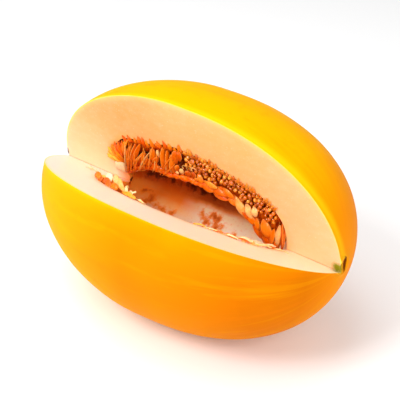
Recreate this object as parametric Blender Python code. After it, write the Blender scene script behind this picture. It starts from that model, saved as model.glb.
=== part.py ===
"""A yellow honeydew melon lying on its side, with one wedge cut out down to its seed cavity.

Metres, +Z up. The fruit's axis lies along X, with the stem end at +X and the blossom end at -X.
The wedge opens towards -Y and upwards. The origin is the middle of the flat spot that it rests on.
Angles about the fruit's length are in degrees: 0 towards -Y and 90 straight up.
"""
import random
from math import atan2, cos, degrees, exp, log, pi, radians, sin, sqrt

import bmesh
import bpy
from mathutils import Matrix, Vector

# The whole fruit. A curve is how full the belly is, then how blunt the end is.
LENGTH = 0.215
WIDEST_RADIUS = 0.0764
WIDEST_AT = -0.006
BLOSSOM_HALF_CURVE = (1.89, 2.15)
STEM_HALF_CURVE = (2.47, 2.02)
RESTING_SPOT_DEPTH = 0.0012
AXIS_HEIGHT = WIDEST_RADIUS - RESTING_SPOT_DEPTH

# The scars at its two ends: the corky ring's radius and height, and the depth of the middle
STEM_SCAR = (0.0055, 0.0008, 0.0016)
BLOSSOM_SCAR = (0.0035, 0.0003, 0.0008)
SCAR_REACH = 0.010

# The wedge: the angles of its two faces, and how far its inner edge is off the fruit's axis, in Y and Z
LOWER_FACE_ANGLE = 26.7
UPPER_FACE_ANGLE = 80.9
EDGE_AT_BLOSSOM_END = (0.0016, 0.0003)
EDGE_AT_STEM_END = (-0.0023, -0.0042)

# The seed cavity: its ends, its radius, its three lobes, and the swell of flesh on its lower stem side
CAVITY_BLOSSOM_END = -0.0695
CAVITY_STEM_END = 0.0705
CAVITY_RADIUS = 0.0418
CAVITY_CURVE = (3.0, 2.3)
CAVITY_END_MARGIN = 0.004
LOBES = 3
LOBE_DEPTH = 0.035
SWELL_DEPTH = 0.007
SWELL_AT = 0.040
SWELL_LENGTH = 0.020
SWELL_SPREAD_ANGLE = 30

# The flesh's core, which stands into the cavity's blossom end
CORE_TIP_HEIGHT = 0.022
CORE_TIP_RADIUS = 0.0105

# The pulp that holds the seeds, left in the upper side of the cavity
WALL_GAP = 0.0009
PULP_BLOSSOM_END = -0.0625
PULP_STEM_END = 0.0665
PULP_LOWER_EDGE = (
    (-0.066, 0.0105), (-0.054, 0.0066), (-0.033, 0.0165), (0.0, 0.0205),
    (0.034, 0.0190), (0.050, 0.0060), (0.066, -0.0010),
)
PULP_RECESS = 0.0055
PULP_LIP = 0.0038
PULP_LIP_RECESS = 0.0012
PULP_UNEVENNESS = 0.0006
PULP_DEPTH_SHARE = 0.85
PULP_UNDERSIDE_RISE = 0.35

# One seed, and the slimmer seeds in their strands of pulp
SEED_LENGTH = 0.0125
SEED_WIDTH = 0.0052
SEED_THICKNESS = 0.0020
SEED_END_WIDTH = 0.0036
STRAND_THICKNESS = 0.0026

# How many seeds are in each part of the bunch
STRANDS = 11
TUFT_STRANDS = 4
SEED_END_ROWS = 3
SEED_ENDS_A_ROW = 19
FLAT_SEEDS = 9
HANGING_SEEDS = 7
UNDERSIDE_ROWS = 2
UNDERSIDE_SEEDS_A_ROW = 8


def mix(start, end, share):
    return start + (end - start) * share


def along_points(points, x):
    """The height of an outline at x, smoothly between its points."""
    for (x0, y0), (x1, y1) in zip(points, points[1:]):
        if x <= x1:
            share = max(0.0, (x - x0) / (x1 - x0))
            return mix(y0, y1, share * share * (3 - 2 * share))
    return points[-1][1]


def outward(angle):
    """The direction away from the fruit's axis at an angle."""
    return Vector((0, -cos(radians(angle)), sin(radians(angle))))


def angle_of(point):
    """The angle of a point about the fruit's axis."""
    return degrees(atan2(point.z - AXIS_HEIGHT, -point.y))


def around_axis(x, angle, reach):
    """A point at an angle and a distance from the fruit's axis."""
    return Vector((x, 0, AXIS_HEIGHT)) + outward(angle) * reach


def edge_point(x):
    """A point on the wedge's inner edge."""
    share = x / LENGTH + 0.5
    y = mix(EDGE_AT_BLOSSOM_END[0], EDGE_AT_STEM_END[0], share)
    z = mix(EDGE_AT_BLOSSOM_END[1], EDGE_AT_STEM_END[1], share)
    return Vector((x, y, AXIS_HEIGHT + z))


def on_upper_face(x, reach, proud):
    """A point at a distance from the wedge's edge along its upper face, and proud of that face."""
    return edge_point(x) + outward(UPPER_FACE_ANGLE) * reach + outward(UPPER_FACE_ANGLE - 90) * proud


def rind_radius(x):
    """Radius of the whole fruit at x."""
    half = LENGTH / 2
    if x < WIDEST_AT:
        run = (WIDEST_AT - x) / (WIDEST_AT + half)
        belly, end = BLOSSOM_HALF_CURVE
    else:
        run = (x - WIDEST_AT) / (half - WIDEST_AT)
        belly, end = STEM_HALF_CURVE
    return WIDEST_RADIUS * max(0.0, 1 - run ** belly) ** (1 / end)


def cavity_radius(x, angle):
    """Radius of the seed cavity at x and at an angle, both about the fruit's axis."""
    cavity_end = CAVITY_BLOSSOM_END if x < 0 else CAVITY_STEM_END
    belly, end = CAVITY_CURVE
    roundness = max(0.0, 1 - (x / cavity_end) ** belly) ** (1 / end)
    lobes = 1 + LOBE_DEPTH * cos(radians(LOBES * (angle - UPPER_FACE_ANGLE)))
    off_face = (angle - LOWER_FACE_ANGLE + 180) % 360 - 180
    swell = exp(-((x - SWELL_AT) / SWELL_LENGTH) ** 2 - (off_face / SWELL_SPREAD_ANGLE) ** 2)
    return roundness * (CAVITY_RADIUS * lobes - SWELL_DEPTH * swell)


def core_radius(x):
    """Radius of the flesh's core in the cavity's blossom end, none past its tip."""
    share = (x - CAVITY_BLOSSOM_END) / CORE_TIP_HEIGHT
    if share >= 1:
        return 0.0
    return CORE_TIP_RADIUS * (-log(max(share, 0.01))) ** 0.25


def inside_cavity(point, gap=WALL_GAP):
    """The point itself, or where it lies in the flesh, a point near it in the cavity."""
    x = min(max(point.x, CAVITY_BLOSSOM_END + CAVITY_END_MARGIN), CAVITY_STEM_END - CAVITY_END_MARGIN)
    angle = angle_of(point)
    reach = sqrt(point.y ** 2 + (point.z - AXIS_HEIGHT) ** 2)
    highest = cavity_radius(x, angle) - gap
    past_core = x > CAVITY_BLOSSOM_END + CORE_TIP_HEIGHT + gap
    lowest = 0.0 if past_core else min(core_radius(x) + gap, highest)
    return around_axis(x, angle, min(max(reach, lowest), highest))


def wall_reach(x):
    """How far the cavity's wall is from the wedge's edge on the upper face."""
    return (inside_cavity(on_upper_face(x, WIDEST_RADIUS, 0)) - edge_point(x)).length


def material(name, colour, roughness):
    finish = bpy.data.materials.new(name)
    finish.use_nodes = True
    shader = finish.node_tree.nodes["Principled BSDF"]
    shader.inputs["Base Color"].default_value = (*colour, 1)
    shader.inputs["Roughness"].default_value = roughness
    shader.inputs["Metallic"].default_value = 0
    return finish


def finished_object(name, bm, finish=None):
    """Make an object of a bmesh, smooth but for its sharp edges."""
    bmesh.ops.recalc_face_normals(bm, faces=bm.faces)
    mesh = bpy.data.meshes.new(name)
    bm.to_mesh(mesh)
    bm.free()
    mesh.shade_smooth()
    mesh.set_sharp_from_angle(angle=radians(40))
    if finish:
        mesh.materials.append(finish)
    made = bpy.data.objects.new(name, mesh)
    bpy.context.scene.collection.objects.link(made)
    return made


def apply_modifiers(made):
    """Put what the modifiers give into the object's own mesh."""
    graph = bpy.context.evaluated_depsgraph_get()
    applied = bpy.data.meshes.new_from_object(made.evaluated_get(graph))
    made.modifiers.clear()
    made.data = applied


def cut_out(made, tool):
    """Cut the tool's volume out of an object, and remove the tool."""
    cut = made.modifiers.new("cut", "BOOLEAN")
    cut.operation = "DIFFERENCE"
    cut.solver = "EXACT"
    cut.object = tool
    apply_modifiers(made)
    bpy.data.objects.remove(tool)


def fuse(made, pieces):
    """Join the pieces to an object as one body, and remove them."""
    group = bpy.data.collections.new("pieces")
    bpy.context.scene.collection.children.link(group)
    for piece in pieces:
        bpy.context.scene.collection.objects.unlink(piece)
        group.objects.link(piece)
    join = made.modifiers.new("join", "BOOLEAN")
    join.operation = "UNION"
    join.solver = "EXACT"
    join.operand_type = "COLLECTION"
    join.collection = group
    apply_modifiers(made)
    for piece in pieces:
        bpy.data.objects.remove(piece)
    bpy.data.collections.remove(group)
    keep_largest_surface(made)


def keep_largest_surface(made):
    """Drop the closed surfaces round hollows that the fusing sealed, so that those are solid."""
    bm = bmesh.new()
    bm.from_mesh(made.data)
    left = set(bm.verts)
    surfaces = []
    while left:
        start = left.pop()
        surface = {start}
        waiting = [start]
        while waiting:
            vert = waiting.pop()
            for link in vert.link_edges:
                other = link.other_vert(vert)
                if other in left:
                    left.remove(other)
                    surface.add(other)
                    waiting.append(other)
        surfaces.append(surface)
    surfaces.sort(key=len)
    for surface in surfaces[:-1]:
        bmesh.ops.delete(bm, geom=list(surface), context="VERTS")
    bm.to_mesh(made.data)
    bm.free()


def rind_point(centre, direction):
    """Where a ray from inside the fruit meets its rind, with the scars at the two ends."""
    near = 0.0
    far = LENGTH
    for _ in range(40):
        middle = (near + far) / 2
        point = centre + direction * middle
        off_axis = sqrt(point.y ** 2 + (point.z - AXIS_HEIGHT) ** 2)
        if abs(point.x) < LENGTH / 2 and off_axis < rind_radius(point.x):
            near = middle
        else:
            far = middle
    point = centre + direction * near
    off_axis = sqrt(point.y ** 2 + (point.z - AXIS_HEIGHT) ** 2)
    if abs(point.x) > LENGTH / 2 - SCAR_REACH:
        ring, height, depth = STEM_SCAR if point.x > 0 else BLOSSOM_SCAR
        cork = height * exp(-((off_axis - ring) / (0.3 * ring)) ** 2)
        hollow = depth * exp(-(off_axis / (0.6 * ring)) ** 2)
        point.x += (cork - hollow) * (1 if point.x > 0 else -1)
    return point


def make_melon_body():
    """The fruit less its wedge, turned about the wedge's edge, then hollowed and set on its flat spot."""
    belly_stations = [11 + 6.36 * step for step in range(25)]
    blossom_stations = [0.0, 2.0, 4.0, 7.0]
    stem_stations = [170.5, 173.0, 174.8, 176.2, 177.6, 178.8, 180.0]
    turned_steps = 44
    centre = edge_point(0)
    edge = (edge_point(LENGTH / 2) - edge_point(-LENGTH / 2)).normalized()
    out = outward(UPPER_FACE_ANGLE)
    out = (out - edge * out.dot(edge)).normalized()
    bm = bmesh.new()
    rim = []
    for turn in blossom_stations + belly_stations + stem_stations:
        direction = out * sin(radians(turn)) - edge * cos(radians(turn))
        rim.append(bm.verts.new(centre + direction * WIDEST_RADIUS))
    face = bm.faces.new(rim)
    bmesh.ops.spin(
        bm, geom=[face, *face.edges, *face.verts], cent=centre, axis=-edge,
        angle=radians(360 - UPPER_FACE_ANGLE + LOWER_FACE_ANGLE), steps=turned_steps,
    )
    bmesh.ops.remove_doubles(bm, verts=bm.verts, dist=1e-6)
    for vert in bm.verts:
        vert.co = rind_point(centre, (vert.co - centre).normalized())
    body = finished_object("melon_body", bm, material("yellow_rind_and_cream_flesh", (0.93, 0.55, 0.04), 0.35))
    cut_out(body, make_cavity_tool())
    flatten_below(body)
    return body


def flatten_below(made):
    """Cut off what lies below the surface that the fruit rests on, and close the flat spot."""
    bm = bmesh.new()
    bm.from_mesh(made.data)
    flat = bmesh.ops.bisect_plane(
        bm, geom=[*bm.verts, *bm.edges, *bm.faces], dist=1e-7,
        plane_co=(0, 0, 0), plane_no=(0, 0, -1), clear_outer=True,
    )
    rim = [part for part in flat["geom_cut"] if isinstance(part, bmesh.types.BMEdge)]
    bmesh.ops.edgeloop_fill(bm, edges=rim)
    bmesh.ops.recalc_face_normals(bm, faces=bm.faces)
    bm.to_mesh(made.data)
    bm.free()


def make_cavity_tool():
    """The seed cavity as a solid, with the flesh's core standing into its blossom end."""
    steps_a_side = 11
    turned_steps = 40
    bm = bmesh.new()
    shares = [(step / steps_a_side) ** 3 for step in range(steps_a_side + 1)]
    places = [CAVITY_BLOSSOM_END * (1 - share) for share in shares]
    places += [CAVITY_STEM_END * (1 - share) for share in reversed(shares[:-1])]
    line = [bm.verts.new(around_axis(x, 0, cavity_radius(x, 0))) for x in places]
    edges = [bm.edges.new(pair) for pair in zip(line, line[1:])]
    bmesh.ops.spin(
        bm, geom=[*line, *edges], cent=(0, 0, AXIS_HEIGHT), axis=(-1, 0, 0),
        angle=2 * pi, steps=turned_steps, use_merge=True,
    )
    bmesh.ops.remove_doubles(bm, verts=bm.verts, dist=1e-6)
    for vert in bm.verts:
        angle = angle_of(vert.co)
        reach = cavity_radius(vert.co.x, angle)
        vert.co = around_axis(vert.co.x, angle, reach)
        if vert.co.x < 0:
            vert.co.x += CORE_TIP_HEIGHT * exp(-(reach / CORE_TIP_RADIUS) ** 4)
    return finished_object("cavity", bm)


def make_seed(root, tip, face_normal, width=SEED_WIDTH, thickness=SEED_THICKNESS, slimmer_root=0.35):
    """A seed or strand from its root to its tip, its flat side facing face_normal."""
    lengthwise = tip - root
    across = lengthwise.cross(face_normal).normalized()
    flat = across.cross(lengthwise).normalized()
    frame = Matrix((across * width / 2, flat * thickness / 2, lengthwise / 2)).transposed()
    bm = bmesh.new()
    bmesh.ops.create_uvsphere(bm, u_segments=6, v_segments=4, radius=1)
    for vert in bm.verts:
        slim = 1 + slimmer_root * vert.co.z
        shaped = Vector((vert.co.x * slim, vert.co.y * slim, vert.co.z))
        vert.co = inside_cavity((root + tip) / 2 + frame @ shaped, WALL_GAP + 0.0002)
    return finished_object("seed", bm)


def pulp_low(x):
    """How far the pulp's lower edge is from the wedge's edge, clear of the flesh's core."""
    low = along_points(PULP_LOWER_EDGE, x)
    if x < CAVITY_BLOSSOM_END + CORE_TIP_HEIGHT:
        return max(low, core_radius(x) + 0.0035)
    return low


def pulp_underside(x, turn):
    """A point on the pulp's hollow side, from its lower edge (0) back to the cavity's wall (1)."""
    low = pulp_low(x)
    wall = wall_reach(x)
    depth = PULP_DEPTH_SHARE * sqrt(max(wall ** 2 - low ** 2, 0.0))
    return on_upper_face(x, low + PULP_UNDERSIDE_RISE * (wall - low) * turn ** 2, -depth * turn)


def make_pulp(finish):
    """The pulp behind the seeds: it hugs the cavity's wall, and its lower edge is a raised lip."""
    stations = 23
    draw = random.Random(7)
    bm = bmesh.new()
    rings = []
    for station in range(stations):
        x = mix(PULP_BLOSSOM_END, PULP_STEM_END, station / (stations - 1))
        low = pulp_low(x) + draw.uniform(-PULP_UNEVENNESS, PULP_UNEVENNESS)
        wall = wall_reach(x)
        lip = min(PULP_LIP, (wall - low) * 0.25)
        recess = min(PULP_RECESS, 0.3 * wall)
        ring = [
            on_upper_face(x, low, -PULP_LIP_RECESS),
            on_upper_face(x, low + lip, -PULP_LIP_RECESS),
            on_upper_face(x, low + lip * 1.7, -recess * 0.9),
            on_upper_face(x, wall, -recess),
        ]
        front = angle_of(ring[3])
        back = angle_of(pulp_underside(x, 1.0))
        for turn in (0.25, 0.5, 0.75, 1.0):
            ring.append(around_axis(x, mix(front, back, turn), WIDEST_RADIUS))
        for turn in (0.85, 0.55, 0.3):
            ring.append(pulp_underside(x, turn))
        rings.append([bm.verts.new(inside_cavity(point)) for point in ring])
    for ring in rings:
        for pair in zip(ring, ring[1:] + ring[:1]):
            bm.edges.new(pair)
    for here, there in zip(rings, rings[1:]):
        sides = [bm.edges.get(pair) for ring in (here, there) for pair in zip(ring, ring[1:] + ring[:1])]
        bmesh.ops.bridge_loops(bm, edges=sides)
    bm.faces.new(rings[0])
    bm.faces.new(rings[-1])
    return finished_object("seed_bunch", bm, finish)


def make_strands(draw, facing):
    """The fan of slim seeds in their strands, and the tuft at the bunch's blossom end."""
    made = []
    for count in range(STRANDS):
        share = count / (STRANDS - 1)
        root_x = mix(-0.0555, -0.0130, share ** 1.15)
        tip_x = mix(-0.0615, -0.0090, share) + draw.uniform(-0.0010, 0.0010)
        root = on_upper_face(root_x, pulp_low(root_x) + 0.0010, -0.0032)
        tip = on_upper_face(tip_x, wall_reach(tip_x) - draw.uniform(0.0012, 0.0040), -0.0022)
        turned = facing + Vector((draw.uniform(-0.9, 0.9), 0, 0))
        width = draw.uniform(0.0034, SEED_WIDTH)
        made.append(make_seed(root, tip, turned, width=width, thickness=STRAND_THICKNESS))
    for count in range(TUFT_STRANDS):
        share = count / (TUFT_STRANDS - 1)
        root = on_upper_face(-0.0565, mix(0.0150, 0.0200, share), -0.0050)
        tip = on_upper_face(mix(-0.0655, -0.0600, share), mix(0.0160, 0.0290, share), -0.0010)
        made.append(make_seed(root, tip, facing, thickness=STRAND_THICKNESS))
    return made


def make_seed_ends(draw):
    """Rows of seeds that stand on end along the wall, so that only their rounded ends show."""
    made = []
    for row in range(SEED_END_ROWS):
        for count in range(SEED_ENDS_A_ROW):
            x = mix(-0.0075, 0.0590, (count + 0.5 * (row % 2)) / SEED_ENDS_A_ROW) + draw.uniform(-0.0005, 0.0005)
            reach = wall_reach(x) - 0.0022 - SEED_END_WIDTH * row
            lean = Vector((draw.uniform(-0.0012, 0.0012), 0, draw.uniform(-0.0012, 0.0012)))
            root = on_upper_face(x, reach, -0.0095)
            tip = on_upper_face(x, reach, draw.uniform(-0.0012, 0.0003)) + lean
            facing = Vector((1, 0, 0)) + outward(UPPER_FACE_ANGLE) * draw.uniform(-1, 1)
            made.append(make_seed(root, tip, facing, width=SEED_END_WIDTH, thickness=0.0024, slimmer_root=0.1))
    return made


def make_flat_seeds(draw, facing):
    """Seeds that lie along the pulp's lip, with their flat sides showing."""
    made = []
    run = SEED_LENGTH * 0.88
    for count in range(FLAT_SEEDS):
        x = mix(-0.0080, 0.0380, count / (FLAT_SEEDS - 1))
        root = on_upper_face(x, pulp_low(x) + 0.0068 + 0.0030 * (count % 2), -0.0062)
        tip = on_upper_face(x + run, pulp_low(x + run) + 0.0046, -0.0012)
        made.append(make_seed(root, tip, facing + Vector((0, 0, draw.uniform(-0.4, 0.4)))))
    return made


def make_hanging_seeds(draw, facing):
    """Two rows of seeds that hang down at the bunch's stem end."""
    made = []
    for count in range(HANGING_SEEDS):
        x = mix(0.0415, 0.0615, count / (HANGING_SEEDS - 1))
        top = wall_reach(x) - (0.0110 if count < HANGING_SEEDS - 2 else 0.0040)
        root = on_upper_face(x, top, -0.0075)
        tip = on_upper_face(x + 0.0015, top - SEED_LENGTH, -0.0010)
        made.append(make_seed(root, tip, facing + Vector((draw.uniform(-0.5, 0.5), 0, 0))))
        low_root = on_upper_face(x, max(pulp_low(x) + 0.0090, top - 0.0110), -0.0080)
        low_tip = on_upper_face(mix(x, 0.0600, 0.5), max(pulp_low(x) + 0.0010, top - 0.0230), -0.0022)
        if (low_root - low_tip).length > SEED_LENGTH / 2:
            made.append(make_seed(low_root, low_tip, facing))
    return made


def make_underside_seeds(draw, facing):
    """Seeds on the pulp's hollow side."""
    made = []
    down = -outward(UPPER_FACE_ANGLE)
    for row in range(UNDERSIDE_ROWS):
        for count in range(UNDERSIDE_SEEDS_A_ROW):
            turn = 0.22 + 0.26 * row
            x = mix(-0.042, 0.038, (count + 0.5 * row) / (UNDERSIDE_SEEDS_A_ROW - 0.5))
            root = pulp_underside(x, turn + 0.06) - down * 0.0026
            tip = pulp_underside(x + 0.0100, turn - 0.04) + down * 0.0012
            made.append(make_seed(root, tip, down + facing * draw.uniform(-0.3, 0.6)))
    return made


def make_seed_bunch():
    """The pulp with all its seeds, fused."""
    draw = random.Random(11)
    facing = outward(UPPER_FACE_ANGLE - 90)
    seeds = make_strands(draw, facing)
    seeds += make_seed_ends(draw)
    seeds += make_flat_seeds(draw, facing)
    seeds += make_hanging_seeds(draw, facing)
    seeds += make_underside_seeds(draw, facing)
    bunch = make_pulp(material("orange_pulp_and_seeds", (0.85, 0.27, 0.03), 0.3))
    fuse(bunch, seeds)
    return bunch


def make_scrap(name, finish, ends, angles, thickness, strands, draw):
    """Pulp left on the cavity's wall under the lower face, with strands that lie along its rim."""
    bm = bmesh.new()
    bmesh.ops.create_grid(bm, x_segments=9, y_segments=4, size=0.5)
    raised = bm.verts.layers.int.new("raised")
    grown = bmesh.ops.extrude_face_region(bm, geom=bm.faces[:])
    for part in grown["geom"]:
        if isinstance(part, bmesh.types.BMVert):
            part[raised] = 1
    for vert in bm.verts:
        across = vert.co.x + 0.5
        down = vert.co.y + 0.5
        x = mix(*ends, across)
        angle = mix(*angles, down)
        fullness = (sin(pi * across) * sin(pi * min(down + 0.15, 1.0))) ** 0.5
        depth = WALL_GAP
        if vert[raised]:
            depth += 0.0005 + thickness * fullness * draw.uniform(0.6, 1.0)
        vert.co = inside_cavity(around_axis(x, angle, cavity_radius(x, angle) - depth))
    scrap = finished_object(name, bm, finish)
    pieces = []
    for count in range(strands):
        x = mix(*ends, (count + 0.5) / strands)
        root_angle = LOWER_FACE_ANGLE - 9
        root = around_axis(x, root_angle, cavity_radius(x, root_angle) - 0.0018)
        tip_x = x + draw.uniform(0.005, 0.009)
        tip_angle = LOWER_FACE_ANGLE + draw.uniform(-2, 3)
        tip = around_axis(tip_x, tip_angle, cavity_radius(tip_x, tip_angle) - draw.uniform(0.0010, 0.0040))
        pieces.append(make_seed(root, tip, outward(LOWER_FACE_ANGLE), width=0.0026, thickness=0.0016))
    fuse(scrap, pieces)
    return scrap


def main():
    for old in list(bpy.data.objects):
        bpy.data.objects.remove(old)
    make_melon_body()
    make_seed_bunch()
    make_scrap(
        "pulp_scrap_blossom_end", material("orange_and_pale_pulp", (0.88, 0.42, 0.10), 0.35),
        ends=(-0.0635, -0.0340), angles=(LOWER_FACE_ANGLE + 1, LOWER_FACE_ANGLE - 38),
        thickness=0.0045, strands=6, draw=random.Random(5),
    )
    make_scrap(
        "pulp_scrap_stem_end", material("pale_pulp", (0.93, 0.62, 0.30), 0.35),
        ends=(0.024, 0.062), angles=(LOWER_FACE_ANGLE + 1, LOWER_FACE_ANGLE - 22),
        thickness=0.0022, strands=7, draw=random.Random(9),
    )


main()
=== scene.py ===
"""A yellow honeydew melon lying on its side, with one wedge cut out down to its open seed cavity.

Metres, +Z up. The fruit's axis lies along X, with the stem end at +X and the blossom end at -X.
The wedge opens towards -Y and upwards. Angles about the fruit's length are in degrees: 0 is
towards -Y and 90 is straight up. Colours are written as red, green and blue from 0 to 255.
"""
import random
from math import atan2, cos, degrees, log, pi, radians, sin, sqrt

import bmesh
import bpy
import numpy as np
from mathutils import Matrix, Vector


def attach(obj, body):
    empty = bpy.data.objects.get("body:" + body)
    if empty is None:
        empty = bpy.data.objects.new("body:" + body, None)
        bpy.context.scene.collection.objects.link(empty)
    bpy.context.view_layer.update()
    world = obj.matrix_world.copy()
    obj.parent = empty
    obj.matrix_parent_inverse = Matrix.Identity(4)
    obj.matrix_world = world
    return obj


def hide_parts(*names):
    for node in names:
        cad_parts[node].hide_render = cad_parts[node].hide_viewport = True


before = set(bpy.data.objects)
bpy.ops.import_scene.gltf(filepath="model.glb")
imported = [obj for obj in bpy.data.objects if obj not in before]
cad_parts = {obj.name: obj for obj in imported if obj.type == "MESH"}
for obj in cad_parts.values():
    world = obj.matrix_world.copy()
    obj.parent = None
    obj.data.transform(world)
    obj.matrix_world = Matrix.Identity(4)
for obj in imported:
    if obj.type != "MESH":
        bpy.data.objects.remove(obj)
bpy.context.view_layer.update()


# The photographer's camera: it looks down on the fruit from the side of its open wedge and its
# stem end, with a long lens.
CAMERA_PLACE = (0.32293, -0.43906, 0.42463)
CAMERA_TILT = 57.683
CAMERA_TURN = 35.938
CAMERA_LENS = 92.19
CAMERA_SENSOR = 36

lens = bpy.data.cameras.new("camera")
lens.lens = CAMERA_LENS
lens.sensor_width = CAMERA_SENSOR
lens.clip_start = 0.01
camera = bpy.data.objects.new("camera", lens)
camera.location = CAMERA_PLACE
camera.rotation_euler = (radians(CAMERA_TILT), 0, radians(CAMERA_TURN))
bpy.context.scene.collection.objects.link(camera)
bpy.context.scene.camera = camera


# The fruit itself: flesh and rind grew as one body. A wedge was sliced out of it with two cuts of
# a long knife, and the seed cavity in its middle stands open. The rind is smooth and waxy, with
# faint streaks from end to end, and the stem left a corky scar.
LENGTH = 0.215
WIDEST_RADIUS = 0.0764
WIDEST_AT = -0.006
BLOSSOM_HALF_CURVE = (1.89, 2.15)
STEM_HALF_CURVE = (2.47, 2.02)
RESTING_SPOT_DEPTH = 0.0012
AXIS_HEIGHT = WIDEST_RADIUS - RESTING_SPOT_DEPTH
RIND_UNEVENNESS = 0.00018
RIND_LUMP = 0.045
EVEN_END_REACH = 0.02

# Both ends' scars: radius of the corky ring, its height, and the depth of the hollow inside it.
STEM_SCAR = (0.0055, 0.0008, 0.0016)
BLOSSOM_SCAR = (0.0035, 0.0003, 0.0008)
SCAR_REACH = 0.010
CORK_WIDTH_SHARE = 0.3
HOLLOW_WIDTH_SHARE = 0.6
STALK_PLACE = (LENGTH / 2, -0.0030, AXIS_HEIGHT + 0.0004)
STEM_GREEN_AT = 0.1050
STEM_GREEN_RISE = 0.0028
BLOSSOM_CUT_RISE = 0.0042

# The wedge: the angles of its two cuts, and y and height of its inner edge at both ends.
LOWER_FACE_ANGLE = 26.7
UPPER_FACE_ANGLE = 80.9
EDGE_AT_BLOSSOM_END = (0.0016, 0.0003)
EDGE_AT_STEM_END = (-0.0023, -0.0042)

# The cavity: three shallow lobes, flesh that swells into it at each cut, and a soft tip of flesh
# at its blossom end. A swell of the upper cut is given by its place, length and depth.
CAVITY_BLOSSOM_END = -0.0695
CAVITY_STEM_END = 0.0705
CAVITY_RADIUS = 0.0418
CAVITY_CURVE = (3.0, 2.3)
LOBES = 3
LOBE_DEPTH = 0.035
LOWER_SWELL = (0.040, 0.020, 0.007)
LOWER_SWELL_ANGLE = 30
UPPER_SWELLS = ((0.042, 0.022, 0.0042), (-0.031, 0.011, 0.0035))
UPPER_SWELL_ANGLE = 22
CORE_TIP_HEIGHT = 0.018
CORE_TIP_RADIUS = 0.0135
CORE_TIP_ROUNDNESS = 2.4
WALL_UNEVENNESS = 0.00045
WALL_LUMP = 0.016

# Rows of imprints that seeds left in the wall: angle, how many, spread, and from which x to which.
IMPRINT_ROWS = (
    (175, 24, 6, -0.052, 0.050), (187, 26, 5, -0.052, 0.052), (195, 30, 4, -0.056, 0.052),
    (201, 26, 3, -0.061, 0.044), (221, 4, 6, -0.058, -0.050), (233, 9, 5, -0.058, -0.034),
    (222, 8, 3, -0.018, 0.000), (228, 7, 3, -0.013, 0.003), (232, 6, 6, 0.006, 0.044),
    (262, 22, 12, -0.050, 0.046), (300, 20, 12, -0.048, 0.046), (340, 22, 12, -0.046, 0.050),
    (368, 16, 8, -0.046, 0.050), (110, 20, 10, -0.045, 0.050), (150, 22, 12, -0.048, 0.050),
)
IMPRINT_DEPTH = 0.0007
IMPRINT_LENGTH = 0.0026
IMPRINT_WIDTH = 0.0013
IMPRINT_REACH = 0.012
IMPRINT_LEAN = 0.35
FAINTEST_IMPRINT = 0.35
DEEPEST_IMPRINT = 1.2

# The mesh: steps about the wedge's edge, steps along the fruit as size and number, which are finer
# at its ends, the rows of a cut face from the rind (0) to the cavity (1), and what it is made with.
TURNED_STEPS = 204
STRIP_STEPS = ((0.4, 12), (0.93, 12), (1.2, 123), (0.93, 12), (0.4, 12))
FACE_ROWS = (0.0, 0.015, 0.04, 0.08, 0.15, 0.25, 0.38, 0.52, 0.66, 0.8, 0.9, 0.96, 1.0)
ROW_EDGE = 0.005
SHARP_ANGLE = 38
SEAM_ANGLE = UPPER_FACE_ANGLE - 20
FARTHEST_FROM_CUT = 0.05
HALVINGS = 34
RIPPLE_WAVES = 9
STREAK_LENGTHWISE = 0.09
STREAK_ACROSS = 0.05


def mix(start, end, share):
    return start + (end - start) * share


def outward(angle):
    """The direction away from the fruit's axis at an angle."""
    return Vector((0, -cos(radians(angle)), sin(radians(angle))))


def turn_from(start, angle):
    """How far an angle is turned from another one, from -180 to 180."""
    return (angle - start + 180) % 360 - 180


def edge_place(x):
    """The y and the height of the wedge's inner edge at x, which may be an array."""
    share = x / LENGTH + 0.5
    y = mix(EDGE_AT_BLOSSOM_END[0], EDGE_AT_STEM_END[0], share)
    return y, AXIS_HEIGHT + mix(EDGE_AT_BLOSSOM_END[1], EDGE_AT_STEM_END[1], share)


def edge_point(x):
    """A point on the wedge's inner edge."""
    return Vector((x, *edge_place(x)))


def rind_radius(x):
    """Radius of the whole fruit at x, which may be an array."""
    half = LENGTH / 2
    to_blossom = x < WIDEST_AT
    run = np.where(to_blossom, (WIDEST_AT - x) / (WIDEST_AT + half), (x - WIDEST_AT) / (half - WIDEST_AT))
    belly = np.where(to_blossom, BLOSSOM_HALF_CURVE[0], STEM_HALF_CURVE[0])
    end = np.where(to_blossom, BLOSSOM_HALF_CURVE[1], STEM_HALF_CURVE[1])
    return WIDEST_RADIUS * (1 - np.clip(run, 0, 1) ** belly) ** (1 / end)


def cavity_radius(x, angle):
    """Radius of the seed cavity at x and at an angle, which may be arrays."""
    share = np.clip(x / np.where(x < 0, CAVITY_BLOSSOM_END, CAVITY_STEM_END), 0, 1)
    roundness = (1 - share ** CAVITY_CURVE[0]) ** (1 / CAVITY_CURVE[1])
    lobes = 1 + LOBE_DEPTH * np.cos(np.radians(LOBES * (angle - UPPER_FACE_ANGLE)))
    inward = 0
    swells = [(*LOWER_SWELL, turn_from(LOWER_FACE_ANGLE, angle) / LOWER_SWELL_ANGLE)]
    swells += [(*swell, turn_from(UPPER_FACE_ANGLE, angle) / UPPER_SWELL_ANGLE) for swell in UPPER_SWELLS]
    for at, length, depth, turn in swells:
        inward = inward + depth * np.exp(-((x - at) / length) ** 2 - turn ** 2)
    return roundness * (CAVITY_RADIUS * lobes - inward)


def polar(points):
    """The x, the distance from the fruit's axis and the angle about it, of an array of points."""
    up = points[:, 2] - AXIS_HEIGHT
    out = -points[:, 1]
    return points[:, 0], np.hypot(up, out), np.degrees(np.arctan2(up, out)) % 360


def in_fruit(points):
    x, off_axis, _ = polar(points)
    return (np.abs(x) < LENGTH / 2) & (off_axis < rind_radius(x))


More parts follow.
